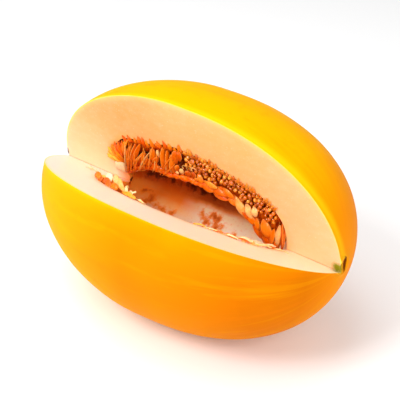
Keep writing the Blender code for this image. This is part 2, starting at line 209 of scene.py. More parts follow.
def in_cavity(points):
    x, off_axis, angle = polar(points)
    tip = CORE_TIP_HEIGHT * np.exp(-(off_axis / CORE_TIP_RADIUS) ** CORE_TIP_ROUNDNESS)
    from_tip = x - np.where(x < 0, tip, 0)
    within = (x < CAVITY_STEM_END) & (from_tip > CAVITY_BLOSSOM_END)
    return within & (off_axis < cavity_radius(from_tip, angle))


def reach_along(directions, inside):
    """How far each ray from the middle of the wedge's edge stays inside."""
    start = np.array(edge_point(0))
    near = np.zeros(len(directions))
    far = np.full(len(directions), LENGTH)
    for _ in range(HALVINGS):
        middle = (near + far) / 2
        within = inside(start + directions * middle[:, None])
        near = np.where(within, middle, near)
        far = np.where(within, far, middle)
    return near


def ripple(points, size, seed):
    """Smooth unevenness from -1 to 1, as a few crossing waves of about the given size."""
    draw = random.Random(seed)
    total = np.zeros(len(points))
    for _ in range(RIPPLE_WAVES):
        way = Vector((draw.gauss(0, 1), draw.gauss(0, 1), draw.gauss(0, 1))).normalized()
        length = size * draw.uniform(0.7, 1.6)
        total += np.sin(points @ np.array(way) * 2 * pi / length + draw.uniform(0, 2 * pi))
    return total / 4


def imprints_on(x, off_axis, angle):
    """How deep each place of the cavity's wall lies in a seed's imprint, by a seeded rule."""
    draw = random.Random(21)
    total = np.zeros(len(x))
    for row_angle, count, spread, low, high in IMPRINT_ROWS:
        for step in range(count):
            along = x - mix(low, high, (step + draw.uniform(0.1, 0.9)) / count)
            turn = turn_from(row_angle + draw.gauss(0, spread / 2), angle)
            lean = draw.gauss(0, IMPRINT_LEAN)
            depth = draw.uniform(FAINTEST_IMPRINT, 1.0)
            around = np.radians(turn) * off_axis
            near = (np.abs(along) < IMPRINT_REACH) & (np.abs(around) < IMPRINT_REACH)
            across = along[near] * cos(lean) - around[near] * sin(lean)
            down = along[near] * sin(lean) + around[near] * cos(lean)
            off_middle = (across / IMPRINT_WIDTH) ** 2 + (down / IMPRINT_LENGTH) ** 2
            total[near] += depth * np.exp(-off_middle)
    return np.clip(total, 0, DEEPEST_IMPRINT)


def new_object(name, mesh):
    made = bpy.data.objects.new(name, mesh)
    bpy.context.scene.collection.objects.link(made)
    return made


def close_up(bm, reach=1e-6):
    """Merge the seams and poles of a mesh, and turn its faces outwards."""
    bmesh.ops.remove_doubles(bm, verts=bm.verts, dist=reach)
    bmesh.ops.dissolve_degenerate(bm, edges=bm.edges, dist=reach / 10)
    bmesh.ops.recalc_face_normals(bm, faces=bm.faces)


def mesh_of(name, bm):
    mesh = bpy.data.meshes.new(name)
    bm.to_mesh(mesh)
    bm.free()
    return mesh


def points_of(mesh, kind="co"):
    """A mesh's points, or the directions that they face, as an array."""
    points = np.zeros(len(mesh.vertices) * 3)
    mesh.vertices.foreach_get(kind, points)
    return points.reshape(-1, 3)


def set_values(mesh, name, values, kind="FLOAT", field="value"):
    """Give each vertex a value, or three, that a material can read by name."""
    layer = mesh.attributes.new(name, kind, "POINT")
    layer.data.foreach_set(field, np.asarray(values, np.float32).ravel())


def turned_strip():
    """The skeleton of the cut fruit: a strip from rind to cavity, turned about the wedge's edge."""
    turns = [0.0]
    for step, count in STRIP_STEPS:
        last = turns[-1]
        turns += [last + step * number for number in range(1, count + 1)]
    turns.append(180.0)
    centre = edge_point(0)
    edge = (edge_point(LENGTH / 2) - edge_point(-LENGTH / 2)).normalized()
    out = outward(UPPER_FACE_ANGLE)
    out = (out - edge * out.dot(edge)).normalized()
    bm = bmesh.new()
    loops = []
    for share in FACE_ROWS:
        reach = WIDEST_RADIUS * (1 - share / 2)
        line = []
        for turn in turns:
            direction = out * sin(radians(turn)) - edge * cos(radians(turn))
            line.append(bm.verts.new(centre + direction * reach))
        loops.append([bm.edges.new(pair) for pair in zip(line, line[1:])])
    for here, there in zip(loops, loops[1:]):
        bmesh.ops.bridge_loops(bm, edges=here + there)
    bmesh.ops.spin(
        bm, geom=[*bm.verts, *bm.edges, *bm.faces], cent=centre, axis=-edge,
        angle=radians(360 - UPPER_FACE_ANGLE + LOWER_FACE_ANGLE), steps=TURNED_STEPS,
    )
    close_up(bm)
    return bm


def make_fruit():
    bm = turned_strip()
    start = np.array(edge_point(0))
    for face in bm.faces:
        shares = [2 * (1 - (vert.co - edge_point(0)).length / WIDEST_RADIUS) for vert in face.verts]
        face.material_index = 0 if max(shares) < ROW_EDGE else 2 if min(shares) > 1 - ROW_EDGE else 1
        face.smooth = True
    mesh = mesh_of("melon_fruit", bm)
    directions = points_of(mesh) - start
    lengths = np.linalg.norm(directions, axis=1)
    directions /= lengths[:, None]
    share = np.clip(2 * (1 - lengths / WIDEST_RADIUS), 0, 1)
    to_rind = reach_along(directions, in_fruit)
    to_wall = reach_along(directions, in_cavity)
    wall_points = start + directions * to_wall[:, None]
    wall_x, wall_off_axis, wall_angle = polar(wall_points)
    imprint = imprints_on(wall_x, wall_off_axis, wall_angle)
    to_wall += WALL_UNEVENNESS * ripple(wall_points, WALL_LUMP, 3) + IMPRINT_DEPTH * imprint
    points = start + directions * mix(to_rind, to_wall, share)[:, None]
    x, off_axis, angle = polar(points)
    on_rind = share < ROW_EDGE
    for sign, (ring, height, depth) in ((1, STEM_SCAR), (-1, BLOSSOM_SCAR)):
        near_end = on_rind & (x * sign > LENGTH / 2 - SCAR_REACH)
        cork = height * np.exp(-((off_axis - ring) / (CORK_WIDTH_SHARE * ring)) ** 2)
        hollow = depth * np.exp(-(off_axis / (HOLLOW_WIDTH_SHARE * ring)) ** 2)
        points[:, 0] += np.where(near_end, sign * (cork - hollow), 0)
    away = np.stack([np.zeros(len(x)), -np.cos(np.radians(angle)), np.sin(np.radians(angle))], axis=1)
    inward = -RIND_UNEVENNESS * (1 + ripple(points, RIND_LUMP, 8)) / 2
    points += away * np.where(on_rind & (off_axis > EVEN_END_REACH), inward, 0)[:, None]
    points[:, 2] = np.maximum(points[:, 2], 0)
    mesh.vertices.foreach_set("co", points.ravel())

    # What the finishes follow: angles in degrees, and distances in millimetres.
    edge_y, edge_z = edge_place(x)
    about_edge = np.degrees(np.arctan2(points[:, 2] - edge_z, edge_y - points[:, 1]))
    off_lower, off_upper = (np.abs(turn_from(cut, angle)) for cut in (LOWER_FACE_ANGLE, UPPER_FACE_ANGLE))
    from_cut = np.radians(np.minimum(off_lower, off_upper)) * off_axis
    nearer_lower = np.abs(about_edge - LOWER_FACE_ANGLE) < np.abs(about_edge - UPPER_FACE_ANGLE)
    stretch = np.array([STREAK_ACROSS, STREAK_ACROSS, STREAK_LENGTHWISE])
    set_values(mesh, "lower_face", nearer_lower)
    set_values(mesh, "from_edge", np.hypot(points[:, 1] - edge_y, points[:, 2] - edge_z) * 1000)
    set_values(mesh, "from_cut", np.minimum(from_cut, FARTHEST_FROM_CUT) * 1000)
    set_values(mesh, "under_rind", (rind_radius(x) - off_axis) * 1000)
    set_values(mesh, "from_wall", (to_rind - to_wall) * (1 - share) * 1000)
    set_values(mesh, "wall_reach", wall_off_axis * 1000)
    set_values(mesh, "around", wall_angle + np.where(wall_angle < SEAM_ANGLE, 360, 0))
    set_values(mesh, "imprint", imprint)
    set_values(mesh, "lengthwise", np.stack([*away.T[1:], x], axis=1) * stretch, "FLOAT_VECTOR", "vector")
    mesh.update()
    mesh.set_sharp_from_angle(angle=radians(SHARP_ANGLE))
    return new_object("melon_fruit", mesh)


def colour(shade):
    """A grey from 0 to 1, or red, green and blue from 0 to 255, as the shader wants it. What
    comes from a node stays as it is."""
    if isinstance(shade, bpy.types.NodeSocket):
        return shade
    if not isinstance(shade, tuple):
        return (shade, shade, shade, 1)
    parts = [part / 255 for part in shade]
    linear = [part / 12.92 if part <= 0.04045 else ((part + 0.055) / 1.055) ** 2.4 for part in parts]
    return (*linear, 1)


def add(tree, kind, inputs=None, **settings):
    """A new node, with its inputs given as values or linked from other nodes' outputs."""
    made = tree.nodes.new("ShaderNode" + kind)
    for name, value in settings.items():
        setattr(made, name, value)
    for name, value in (inputs or {}).items():
        if isinstance(value, bpy.types.NodeSocket):
            tree.links.new(value, made.inputs[name])
        else:
            made.inputs[name].default_value = value
    return made


def ramp(tree, share, stops):
    """A colour or grey read off a row of stops, each a place from 0 to 1 and a colour."""
    made = add(tree, "ValToRGB", {"Fac": share})
    elements = made.color_ramp.elements
    while len(elements) < len(stops):
        elements.new(1)
    for element, (place, shade) in zip(elements, stops):
        element.position = place
        element.color = colour(shade)
    return made.outputs["Color"]


def between(tree, share, first, second):
    """Two colours mixed by a share."""
    return add(tree, "Mix", {0: share, 6: colour(first), 7: colour(second)}, data_type="RGBA").outputs[2]


def spread_out(tree, value, low, high, to_low=0.0, to_high=1.0):
    """A value's range from low to high, moved to another range and held inside it."""
    ends = {"From Min": low, "From Max": high, "To Min": to_low, "To Max": to_high}
    return add(tree, "MapRange", {"Value": value, **ends}).outputs["Result"]


def times(tree, first, second, plus=0.0):
    """Two values multiplied, with a third one added."""
    return add(tree, "Math", {0: first, 1: second, 2: plus}, operation="MULTIPLY_ADD").outputs["Value"]


def grain(tree, vector, scale, detail=3.0, roughness=0.5, stretch=(1, 1, 1)):
    """Cloudy grain over a surface, from 0 to 1, longer along the axes that stretch makes small."""
    placed = add(tree, "Mapping", {"Vector": vector, "Scale": stretch}).outputs["Vector"]
    look = {"Scale": scale, "Detail": detail, "Roughness": roughness}
    return add(tree, "TexNoise", {"Vector": placed, **look}).outputs["Fac"]


def sources_on(tree, values, grains):
    """What a finish can follow: place, x, y and z, named values of the mesh, and kinds of grain."""
    place = add(tree, "TexCoord").outputs["Object"]
    split = add(tree, "SeparateXYZ", {"Vector": place}).outputs
    sources = {"place": place, "x": split["X"], "y": split["Y"], "z": split["Z"]}
    for name in values:
        sources[name] = add(tree, "Attribute", attribute_name=name).outputs["Fac"]
    for name, *kind in grains:
        sources[name] = grain(tree, place, *kind)
    return sources


def layered(tree, base, sources, layers):
    """Lay colours over a base. Each layer follows one or more sources, from the value where it
    starts to the value where it is fullest, and then has its greatest share and its colour."""
    for *followed, share, shade in layers:
        for name, low, high in followed:
            share = times(tree, share, spread_out(tree, sources[name], low, high))
        base = between(tree, share, base, sources.get(shade, shade))
    return base


def ragged_distance(tree, sources, middle, raggedness):
    """How far a place is from a point, with an edge that the cork's grain makes ragged."""
    off = add(tree, "VectorMath", {0: sources["place"], 1: middle}, operation="DISTANCE").outputs["Value"]
    return times(tree, sources["cork"], raggedness, off)


def new_finish(name, roughness, shine, coat=(0.0, 0.1), glow=(0.0, 0.002), tint=(1.0, 0.4, 0.15)):
    """A material with its plain settings. Coat is its weight and roughness, and glow is how much
    light spreads inside and how deep."""
    made = bpy.data.materials.new(name)
    made.use_nodes = True
    shader = made.node_tree.nodes["Principled BSDF"]
    plain = {
        "Roughness": roughness, "Specular IOR Level": shine,
        "Coat Weight": coat[0], "Coat Roughness": coat[1],
        "Subsurface Weight": glow[0], "Subsurface Scale": glow[1], "Subsurface Radius": tint,
    }
    for setting, value in plain.items():
        shader.inputs[setting].default_value = value
    return made, made.node_tree, shader


def wire(tree, shader, base, height, bump, reach, roughness=None):
    """Give a shader its colour, its roughness, and a bump from a height."""
    tree.links.new(base, shader.inputs["Base Color"])
    if roughness:
        tree.links.new(roughness, shader.inputs["Roughness"])
    raised = add(tree, "Bump", {"Height": height, "Strength": bump, "Distance": reach})
    tree.links.new(raised.outputs["Normal"], shader.inputs["Normal"])


# The rind's look: its kinds of grain, its colour by height, which grows darker and more orange
# lower down as painted shade, the stalk's cork, and the layers of colour that lie over them. The
# flesh's look follows in the same way.
CORK_GRAIN = ("cork", 700, 3, 0.7)
STEM_GREEN_MIDDLE = tuple(edge_point(STEM_GREEN_AT) + outward(UPPER_FACE_ANGLE) * STEM_GREEN_RISE)
RIND_GRAINS = (("clouds", 14, 3, 0.5), ("mottle", 120, 3, 0.6), ("pores", 1500, 2, 0.6), CORK_GRAIN)
RIND_STREAKS = (150, 4, 0.62)
RIND_BANDS = (40, 2, 0.5)
# Painted shade: the rind turns darker and more orange towards the bottom.
RIND_PAINTED_SHADE_BY_HEIGHT = (
    (0.12, (220, 140, 0)), (0.34, (226, 138, 0)), (0.56, (232, 128, 0)),
    (0.78, (242, 136, 0)), (0.96, (252, 170, 0)), (1.0, (252, 178, 0)),
)
STALK_CORK = ((0.30, (190, 112, 14)), (0.48, (232, 142, 22)), (0.70, (246, 168, 60)))
STALK_RING = ((0.0, 0.0), (0.25, 1.0), (0.7, 1.0), (0.95, 0.0))
# Among the layers, painted shade: more orange towards the stem end, on the side away from the main light, and
# a darker orange low on the front of the stem half. Painted light: paler yellow towards the blossom end.
RIND_LAYERS = (
    (("x", 0.015, 0.105), 0.45, (252, 152, 0)),
    (("x", 0.020, 0.075), ("z", 0.105, 0.080), ("y", 0.0, -0.030), 0.75, (196, 98, 0)),
    (("x", 0.002, -0.070), 0.85, (255, 184, 8)), (("streaks", 0.54, 0.74), 0.18, (255, 200, 10)),
    (("streaks", 0.46, 0.28), 0.22, (236, 126, 0)), (("mottle", 0.44, 0.30), 0.14, (226, 122, 0)),
    (("from_cut", 4.0, 0.3), 0.40, (255, 214, 20)), (("off_stem", 0.0130, 0.0072), 0.25, (206, 160, 20)),
    (("off_stalk", 0.0064, 0.0050), 0.7, "stalk_cork"), (("ring", 0.0, 1.0), 1.0, (104, 44, 4)),
    (("off_blossom", 0.0052, 0.0038), 1.0, (96, 54, 18)),
    (("off_green", 0.0062, 0.0034), 1.0, (150, 140, 10)),
)


def rind_finish():
    made, tree, shader = new_finish("waxy_yellow_rind", 0.46, 0.010, glow=(0.03, 0.002))
    on = sources_on(tree, ["from_cut"], RIND_GRAINS)
    lengthwise = add(tree, "Attribute", attribute_name="lengthwise").outputs["Vector"]
    on["streaks"] = grain(tree, lengthwise, *RIND_STREAKS)
    height = times(tree, on["clouds"], 0.20, spread_out(tree, on["z"], 0.0, 0.150))
    height = times(tree, grain(tree, lengthwise, *RIND_BANDS), 0.08, height)
    on["off_stem"] = ragged_distance(tree, on, (LENGTH / 2, 0, AXIS_HEIGHT), 0.0016)
    on["off_blossom"] = ragged_distance(tree, on, (-LENGTH / 2, 0, AXIS_HEIGHT), 0.0016)
    on["off_stalk"] = ragged_distance(tree, on, STALK_PLACE, 0.0012)
    on["off_green"] = ragged_distance(tree, on, STEM_GREEN_MIDDLE, 0.0030)
    on["stalk_cork"] = ramp(tree, on["cork"], STALK_CORK)
    far_side = spread_out(tree, on["y"], -0.0006, 0.0014, 0.06, 1.0)
    off_ring = spread_out(tree, on["off_stalk"], 0.0052, 0.0078)
    on["ring"] = times(tree, ramp(tree, off_ring, STALK_RING), far_side)
    skin = layered(tree, ramp(tree, height, RIND_PAINTED_SHADE_BY_HEIGHT), on, RIND_LAYERS)
    rough = spread_out(tree, on["streaks"], 0.3, 0.7, 0.40, 0.54)
    wire(tree, shader, skin, times(tree, on["streaks"], 0.8, on["pores"]), 0.08, 0.0004, rough)
    return made


FLESH_VALUES = ("under_rind", "from_wall", "from_edge", "lower_face")
FLESH_GRAINS = (
    ("clouds", 30, 3, 0.5), ("fibres", 240, 3, 0.6, (0.6, 1, 1)), ("specks", 900, 2, 0.5), CORK_GRAIN,
)
# One cream flesh in two copies: the upper cut face's peach is painted shade, darker and warmer higher up, and
# the lower cut face's cream is painted light.
SHADED_PEACH_BY_HEIGHT = (
    (0.0, (252, 218, 186)), (0.24, (244, 202, 152)), (0.50, (234, 180, 114)),
    (0.80, (236, 176, 104)), (1.0, (238, 178, 106)),
)
LIT_CREAM_BY_LENGTH = ((0.10, (252, 228, 210)), (0.55, (254, 233, 214)), (1.0, (254, 224, 190)))
# Painted shade here too: a darker orange band high on the upper face at the blossom side, and a thin darker
# line along the crease at the wedge's edge. The lower face takes the lit cream.
FLESH_LAYERS = (
    (("x", -0.010, -0.036), ("height", 0.118, 0.138), 0.7, (236, 156, 78)),
    (("x", 0.044, 0.076), 0.75, (244, 184, 130)), (("lower_face", 0.0, 1.0), 1.0, "cream"),
    (("fibres", 0.40, 0.70), 0.09, (255, 240, 206)), (("specks", 0.62, 0.74), 0.22, (255, 246, 226)),
    (("wander", 6.5, 1.2), 0.55, (255, 190, 110)),
    (("x", -0.046, -0.060), ("wander", 7.0, 1.0), ("lower_face", 1.0, 0.0), 0.85, (255, 158, 44)),
    (("ragged_x", -0.060, -0.047), ("z", 0.092, 0.082), ("x", 0.02, 0.0), 0.8, (226, 118, 34)),
    (("from_edge", 1.1, 0.1), 0.42, (206, 138, 78)), (("under_rind", 5.0, 0.5), 0.45, (255, 222, 130)),
    (("under_rind", 1.3, 0.3), 1.0, (255, 222, 60)), (("off_green", 0.0062, 0.0034), 1.0, (142, 136, 12)),
    (("x", -0.1063, -0.1067), ("off_scar", 0.0030, 0.0022), 1.0, (74, 36, 12)),
)


def flesh_finish():
    light = ((0.08, 0.25), (0.30, 0.003), (1.0, 0.6, 0.3))
    made, tree, shader = new_finish("moist_cream_flesh", 0.40, 0.3, *light)
    on = sources_on(tree, FLESH_VALUES, FLESH_GRAINS)
    on["height"] = times(tree, on["clouds"], 0.020, on["z"])
    shaded_peach = ramp(tree, spread_out(tree, on["height"], 0.080, 0.160), SHADED_PEACH_BY_HEIGHT)
    length_share = times(tree, on["clouds"], 0.3, spread_out(tree, on["x"], -0.1, 0.1))
    on["cream"] = ramp(tree, length_share, LIT_CREAM_BY_LENGTH)
    on["wander"] = times(tree, on["fibres"], 3.0, on["from_wall"])
    on["ragged_x"] = times(tree, on["fibres"], 0.008, on["x"])
    scar_middle = edge_point(-LENGTH / 2) + outward(UPPER_FACE_ANGLE) * BLOSSOM_CUT_RISE
    on["off_scar"] = ragged_distance(tree, on, tuple(scar_middle), 0.0)
    on["off_green"] = ragged_distance(tree, on, STEM_GREEN_MIDDLE, 0.0030)
    rough = spread_out(tree, on["specks"], 0.3, 0.7, 0.32, 0.48)
    relief = times(tree, on["fibres"], 1.2, on["specks"])
    wire(tree, shader, layered(tree, shaded_peach, on, FLESH_LAYERS), relief, 0.16, 0.0005, rough)
    return made


# The wall's colours by angle in its stem half and in its blossom half. They run over WALL_SPAN
# degrees from WALL_START, where the pulp hides them, and wander a little with the grain. The dark
# band just under the pulp, to about 209 degrees and further in the blossom half, is painted shadow
# of the seed bunch; from WALL_LIT_FROM to WALL_LIT_TO it gives way to the lit wall.
WALL_START = 75
WALL_SPAN = 320
WALL_WANDER = 9
PAINTED_SHADOW_WALL_BY_ANGLE = (
    (80, (214, 96, 10)), (172, (176, 72, 6)), (200, (166, 68, 6)), (209, (184, 78, 8)),
    (212, (236, 136, 56)), (216, (255, 218, 170)), (224, (255, 226, 190)), (237, (255, 232, 206)),
    (262, (255, 204, 156)), (340, (254, 198, 146)), (388, (255, 222, 184)),
)
BLOSSOM_PAINTED_SHADOW_WALL_BY_ANGLE = (
    (80, (214, 96, 10)), (190, (190, 76, 4)), (204, (204, 84, 4)), (212, (228, 106, 12)),
    (221, (244, 128, 30)), (229, (255, 178, 100)), (238, (255, 214, 172)), (262, (252, 170, 90)),
    (388, (254, 200, 140)),
)
WALL_GRAINS = (("wander", 60, 3, 0.6), ("fibres", 260, 3, 0.65, (0.5, 1, 1)), ("stain", 520, 3, 0.65))
WALL_LIT_FROM = 206
WALL_LIT_TO = 213
WALL_LAYERS = (
    (("x", -0.014, -0.034), 1.0, "blossom_wall"),
    (("x", -0.047, -0.060), ("lit", 0.0, 1.0), 0.9, (240, 142, 48)),
    (("wall_reach", 24, 15), ("x", -0.030, -0.044), 1.0, (232, 126, 38)),
    (("x", 0.050, 0.062), 0.9, (240, 124, 30)), (("fibres", 0.5, 0.75), 0.14, (255, 174, 92)),
    # Stains and imprints: their colour is darker where the wall is unlit, and much darker in the band of
    # painted shadow, as painted shade.
    (("stained", 0.60, 1.0), 0.92, "stain_colour"), (("stained", 0.98, 1.5), 0.88, (194, 78, 0)),
    (("stained", 0.80, 1.30), ("lit", 1.0, 0.0), 0.9, (82, 26, 0)),
)


def wall_finish():
    def at_angle(angle):
        return (angle - WALL_START) / WALL_SPAN

    def by_angle(stops):
        return ramp(tree, turn, [(at_angle(angle), shade) for angle, shade in stops])

    light = ((0.0, 0.25), (0.25, 0.003), (1.0, 0.42, 0.14))
    made, tree, shader = new_finish("wet_cavity_wall", 0.5, 0.05, *light)
    on = sources_on(tree, ("around", "imprint", "wall_reach"), WALL_GRAINS)
    low = WALL_START + WALL_WANDER / 2
    turn = spread_out(tree, times(tree, on["wander"], WALL_WANDER, on["around"]), low, low + WALL_SPAN)
    on["lit"] = spread_out(tree, turn, at_angle(WALL_LIT_FROM), at_angle(WALL_LIT_TO))
    on["blossom_wall"] = by_angle(BLOSSOM_PAINTED_SHADOW_WALL_BY_ANGLE)
    on["stained"] = times(tree, on["stain"], 1.1, on["imprint"])
    # The stains' colour: darker where the wall is unlit, as painted shade.
    on["stain_colour"] = between(tree, on["lit"], (146, 54, 2), (248, 128, 18))
    wall = layered(tree, by_angle(PAINTED_SHADOW_WALL_BY_ANGLE), on, WALL_LAYERS)
    wire(tree, shader, wall, on["fibres"], 0.25, 0.0008)
    return made


fruit = make_fruit()
for finish in (rind_finish(), flesh_finish(), wall_finish()):
    fruit.data.materials.append(finish)
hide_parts("melon_body")
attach(fruit, "root")


# The pulp that the seeds grow from: a soft, wet orange bed against the upper side of the cavity's
# wall. Its colour darkens with depth as painted shade, and its lower edge stands out as a bright,
# shiny lip.
PULP_BLOSSOM_END = -0.0625
PULP_STEM_END = 0.0665
PULP_LOWER_EDGE = (
    (-0.066, 0.0105), (-0.054, 0.0070), (-0.033, 0.0170), (-0.018, 0.0174), (0.0, 0.0202),
    (0.014, 0.0206), (0.034, 0.0178), (0.046, 0.0096), (0.055, -0.0010), (0.066, -0.0040),
)
PULP_RECESSES = ((-0.012, 0.0062), (0.006, 0.0040))
PULP_LIP = 0.0042
PULP_LIP_RECESS = 0.0030
PULP_RIM_RECESS = 0.0020
PULP_DEPTH_SHARE = 0.85
PULP_UNDERSIDE_RISE = 0.35
PULP_STATIONS = 64
PULP_BACK_TURNS = (0.12, 0.3, 0.5, 0.7, 0.88, 1.0)
PULP_UNDERSIDE_TURNS = (0.86, 0.7, 0.52, 0.34, 0.16)
PULP_UNEVENNESS = 0.0009
WALL_GAP = 0.0003
END_CLEARANCE = 0.002

# The waves that make the soft surface uneven, by size, share and seed, and then its colours,
# which darken with depth as painted shade.
PULP_WAVES = ((0.006, 1.0, 5), (0.0022, 0.6, 6))
PULP_GRAINS = (("clouds", 420, 3, 0.6), ("fibres", 700, 2, 0.6, (0.3, 1, 1)))
PULP_PAINTED_SHADE_BY_DEPTH = (
    (0.0, (70, 18, 0)), (0.30, (150, 48, 0)), (0.62, (228, 88, 3)),
    (0.85, (246, 108, 6)), (1.0, (255, 140, 30)),
)
PULP_LAYERS = ((("fibres", 0.55, 0.75), 0.4, (255, 130, 20)),)


def along_points(points, x):
    """The height of an outline at x, smoothly between its points."""
    for (x0, y0), (x1, y1) in zip(points, points[1:]):
        if x <= x1:
            share = max(0.0, (x - x0) / (x1 - x0))
            return mix(y0, y1, share * share * (3 - 2 * share))
    return points[-1][1]


def on_upper_face(x, reach, proud=0.0):
    """A point at a distance from the wedge's edge along its upper face, and proud of that face."""
    return edge_point(x) + outward(UPPER_FACE_ANGLE) * reach + outward(UPPER_FACE_ANGLE - 90) * proud


def angle_of(point):
    """The angle of a point about the fruit's axis."""
    return degrees(atan2(point.z - AXIS_HEIGHT, -point.y)) % 360


def around_axis(x, angle, reach):
    """A point at an angle and a distance from the fruit's axis."""
    return Vector((x, 0, AXIS_HEIGHT)) + outward(angle) * reach


def inside_cavity(point, gap=WALL_GAP):
    """The point itself, or where it lies in the flesh, the nearest place off the cavity's wall."""
    x = min(max(point.x, CAVITY_BLOSSOM_END + END_CLEARANCE), CAVITY_STEM_END - END_CLEARANCE)
    angle = angle_of(point)
    reach = sqrt(point.y ** 2 + (point.z - AXIS_HEIGHT) ** 2)
    highest = float(cavity_radius(x, angle)) - gap
    lowest = 0.0
    into_core = (x - CAVITY_BLOSSOM_END) / CORE_TIP_HEIGHT
    if into_core < 1:
        lowest = min(CORE_TIP_RADIUS * (-log(into_core)) ** (1 / CORE_TIP_ROUNDNESS), highest)
    return around_axis(x, angle, min(max(reach, lowest), highest))


def wall_reach(x):
    """How far the cavity's wall is from the wedge's edge on the upper face."""
    return (inside_cavity(on_upper_face(x, WIDEST_RADIUS), 0) - edge_point(x)).length


def pulp_low(x):
    """How far the pulp's lower edge is from the wedge's edge."""
    return along_points(PULP_LOWER_EDGE, x)


def pulp_underside(x, turn):
    """A point on the pulp's hollow side, from its lower edge (0) back to the cavity's wall (1)."""
    low = pulp_low(x)
    wall = wall_reach(x)
    depth = PULP_DEPTH_SHARE * sqrt(max(wall ** 2 - low ** 2, 0.0))
    return on_upper_face(x, low + PULP_UNDERSIDE_RISE * (wall - low) * turn ** 2, -depth * turn)


def pulp_section(x):
    """The pulp's outline across the fruit at x: lip, recess behind the seeds, wall, and hollow side."""
    low = pulp_low(x)
    wall = wall_reach(x)
    lip = min(PULP_LIP, (wall - low) * 0.3)
    recess = min(along_points(PULP_RECESSES, x), 0.3 * wall)
    front = (
        (low, PULP_LIP_RECESS), (low + lip * 0.5, PULP_LIP_RECESS * 0.8), (low + lip, PULP_LIP_RECESS),
        (low + lip * 1.5, recess), (mix(low + lip, wall, 0.65), recess), (wall, PULP_RIM_RECESS),
    )
    line = [on_upper_face(x, reach, -sunk) for reach, sunk in front]
    rim = angle_of(line[-1])
    back = angle_of(pulp_underside(x, 1.0))
    line += [around_axis(x, mix(rim, back, turn), WIDEST_RADIUS) for turn in PULP_BACK_TURNS]
    line += [pulp_underside(x, turn) for turn in PULP_UNDERSIDE_TURNS]
    return [inside_cavity(point) for point in line]


def roughen(mesh, depth, waves, sunk=0.0):
    """Make a surface uneven to a depth, by waves, and sink it by a share of that depth."""
    mesh.shade_smooth()
    points = points_of(mesh)
    lumps = sum(share * ripple(points, size, seed) for size, share, seed in waves) - sunk
    points += points_of(mesh, "normal") * (depth * lumps)[:, None]
    mesh.vertices.foreach_set("co", points.ravel())
    mesh.update()


def make_pulp_bed():
    steps = PULP_STATIONS
    sections = [pulp_section(mix(PULP_BLOSSOM_END, PULP_STEM_END, step / steps)) for step in range(steps + 1)]
    sides = len(sections[0])
    bm = bmesh.new()
    bmesh.ops.create_grid(bm, x_segments=steps, y_segments=sides, size=0.5)
    for vert in bm.verts:
        station = round((vert.co.x + 0.5) * steps)
        side = round((vert.co.y + 0.5) * sides) % sides
        section = sections[station]
        vert.co = section[side] if 0 < station < steps else sum(section, Vector()) / sides
    close_up(bm)
    bed = new_object("pulp_bed", mesh_of("pulp_bed", bm))
    rounded = bed.modifiers.new("rounded", "SUBSURF")
    rounded.levels = 2
    rounded.render_levels = 2
    finished = bed.evaluated_get(bpy.context.evaluated_depsgraph_get())
    bed.data = bpy.data.meshes.new_from_object(finished)
    bed.modifiers.clear()
    proud = (points_of(bed.data) - np.array(edge_point(0))) @ np.array(outward(UPPER_FACE_ANGLE - 90))
    set_values(bed.data, "proud", proud * 1000)
    roughen(bed.data, PULP_UNEVENNESS, PULP_WAVES, 0.6)
    return bed


def pulp_finish():
    light = ((0.25, 0.12), (0.30, 0.0025), (1.0, 0.35, 0.08))
    made, tree, shader = new_finish("wet_orange_pulp", 0.30, 0.2, *light)
    on = sources_on(tree, ["proud"], PULP_GRAINS)
    # Darker the deeper behind the cut face: painted shade.
    depth = spread_out(tree, times(tree, on["clouds"], 1.6, on["proud"]), -6.0, 1.0)
    pulp = layered(tree, ramp(tree, depth, PULP_PAINTED_SHADE_BY_DEPTH), on, PULP_LAYERS)
    wire(tree, shader, pulp, on["fibres"], 0.35, 0.0008)
    return made


bed = make_pulp_bed()
bed.data.materials.append(pulp_finish())
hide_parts("seed_bunch")
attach(bed, "root")


# The lip of the pulp: its lower edge stands out along the whole bunch as a thick, bright, wet band.
# It is thinnest where the fan starts and widest where the flat seeds lie on it.
LIP_BLOSSOM_END = -0.0545
LIP_STEM_END = 0.0565
LIP_WIDTHS = (
    (-0.0545, 0.0012), (-0.045, 0.0048), (-0.032, 0.0074), (-0.020, 0.0044), (0.0, 0.0044),
    (0.014, 0.0056), (0.026, 0.0074), (0.036, 0.0056), (0.047, 0.0034), (0.0565, 0.0016),
)
LIP_THICKNESS = 0.0034
LIP_PROUD = 0.0002
LIP_END_SHARE = 0.02
LIP_STATIONS = 150
LIP_SIDES = 18
LIP_UNEVENNESS = 0.0007
LIP_WAVES = ((0.0075, 1.0, 31), (0.0030, 0.55, 32))
LIP_GRAINS = (("clouds", 330, 3, 0.6), ("fibres", 800, 2, 0.6, (0.35, 1, 1)))
LIP_BY_CLOUD = ((0.30, (222, 78, 3)), (0.46, (248, 100, 4)), (0.60, (255, 122, 12)), (0.74, (255, 168, 72)))
LIP_LAYERS = ((("ragged", 0.98, 1.28), 0.75, (255, 190, 112)),)


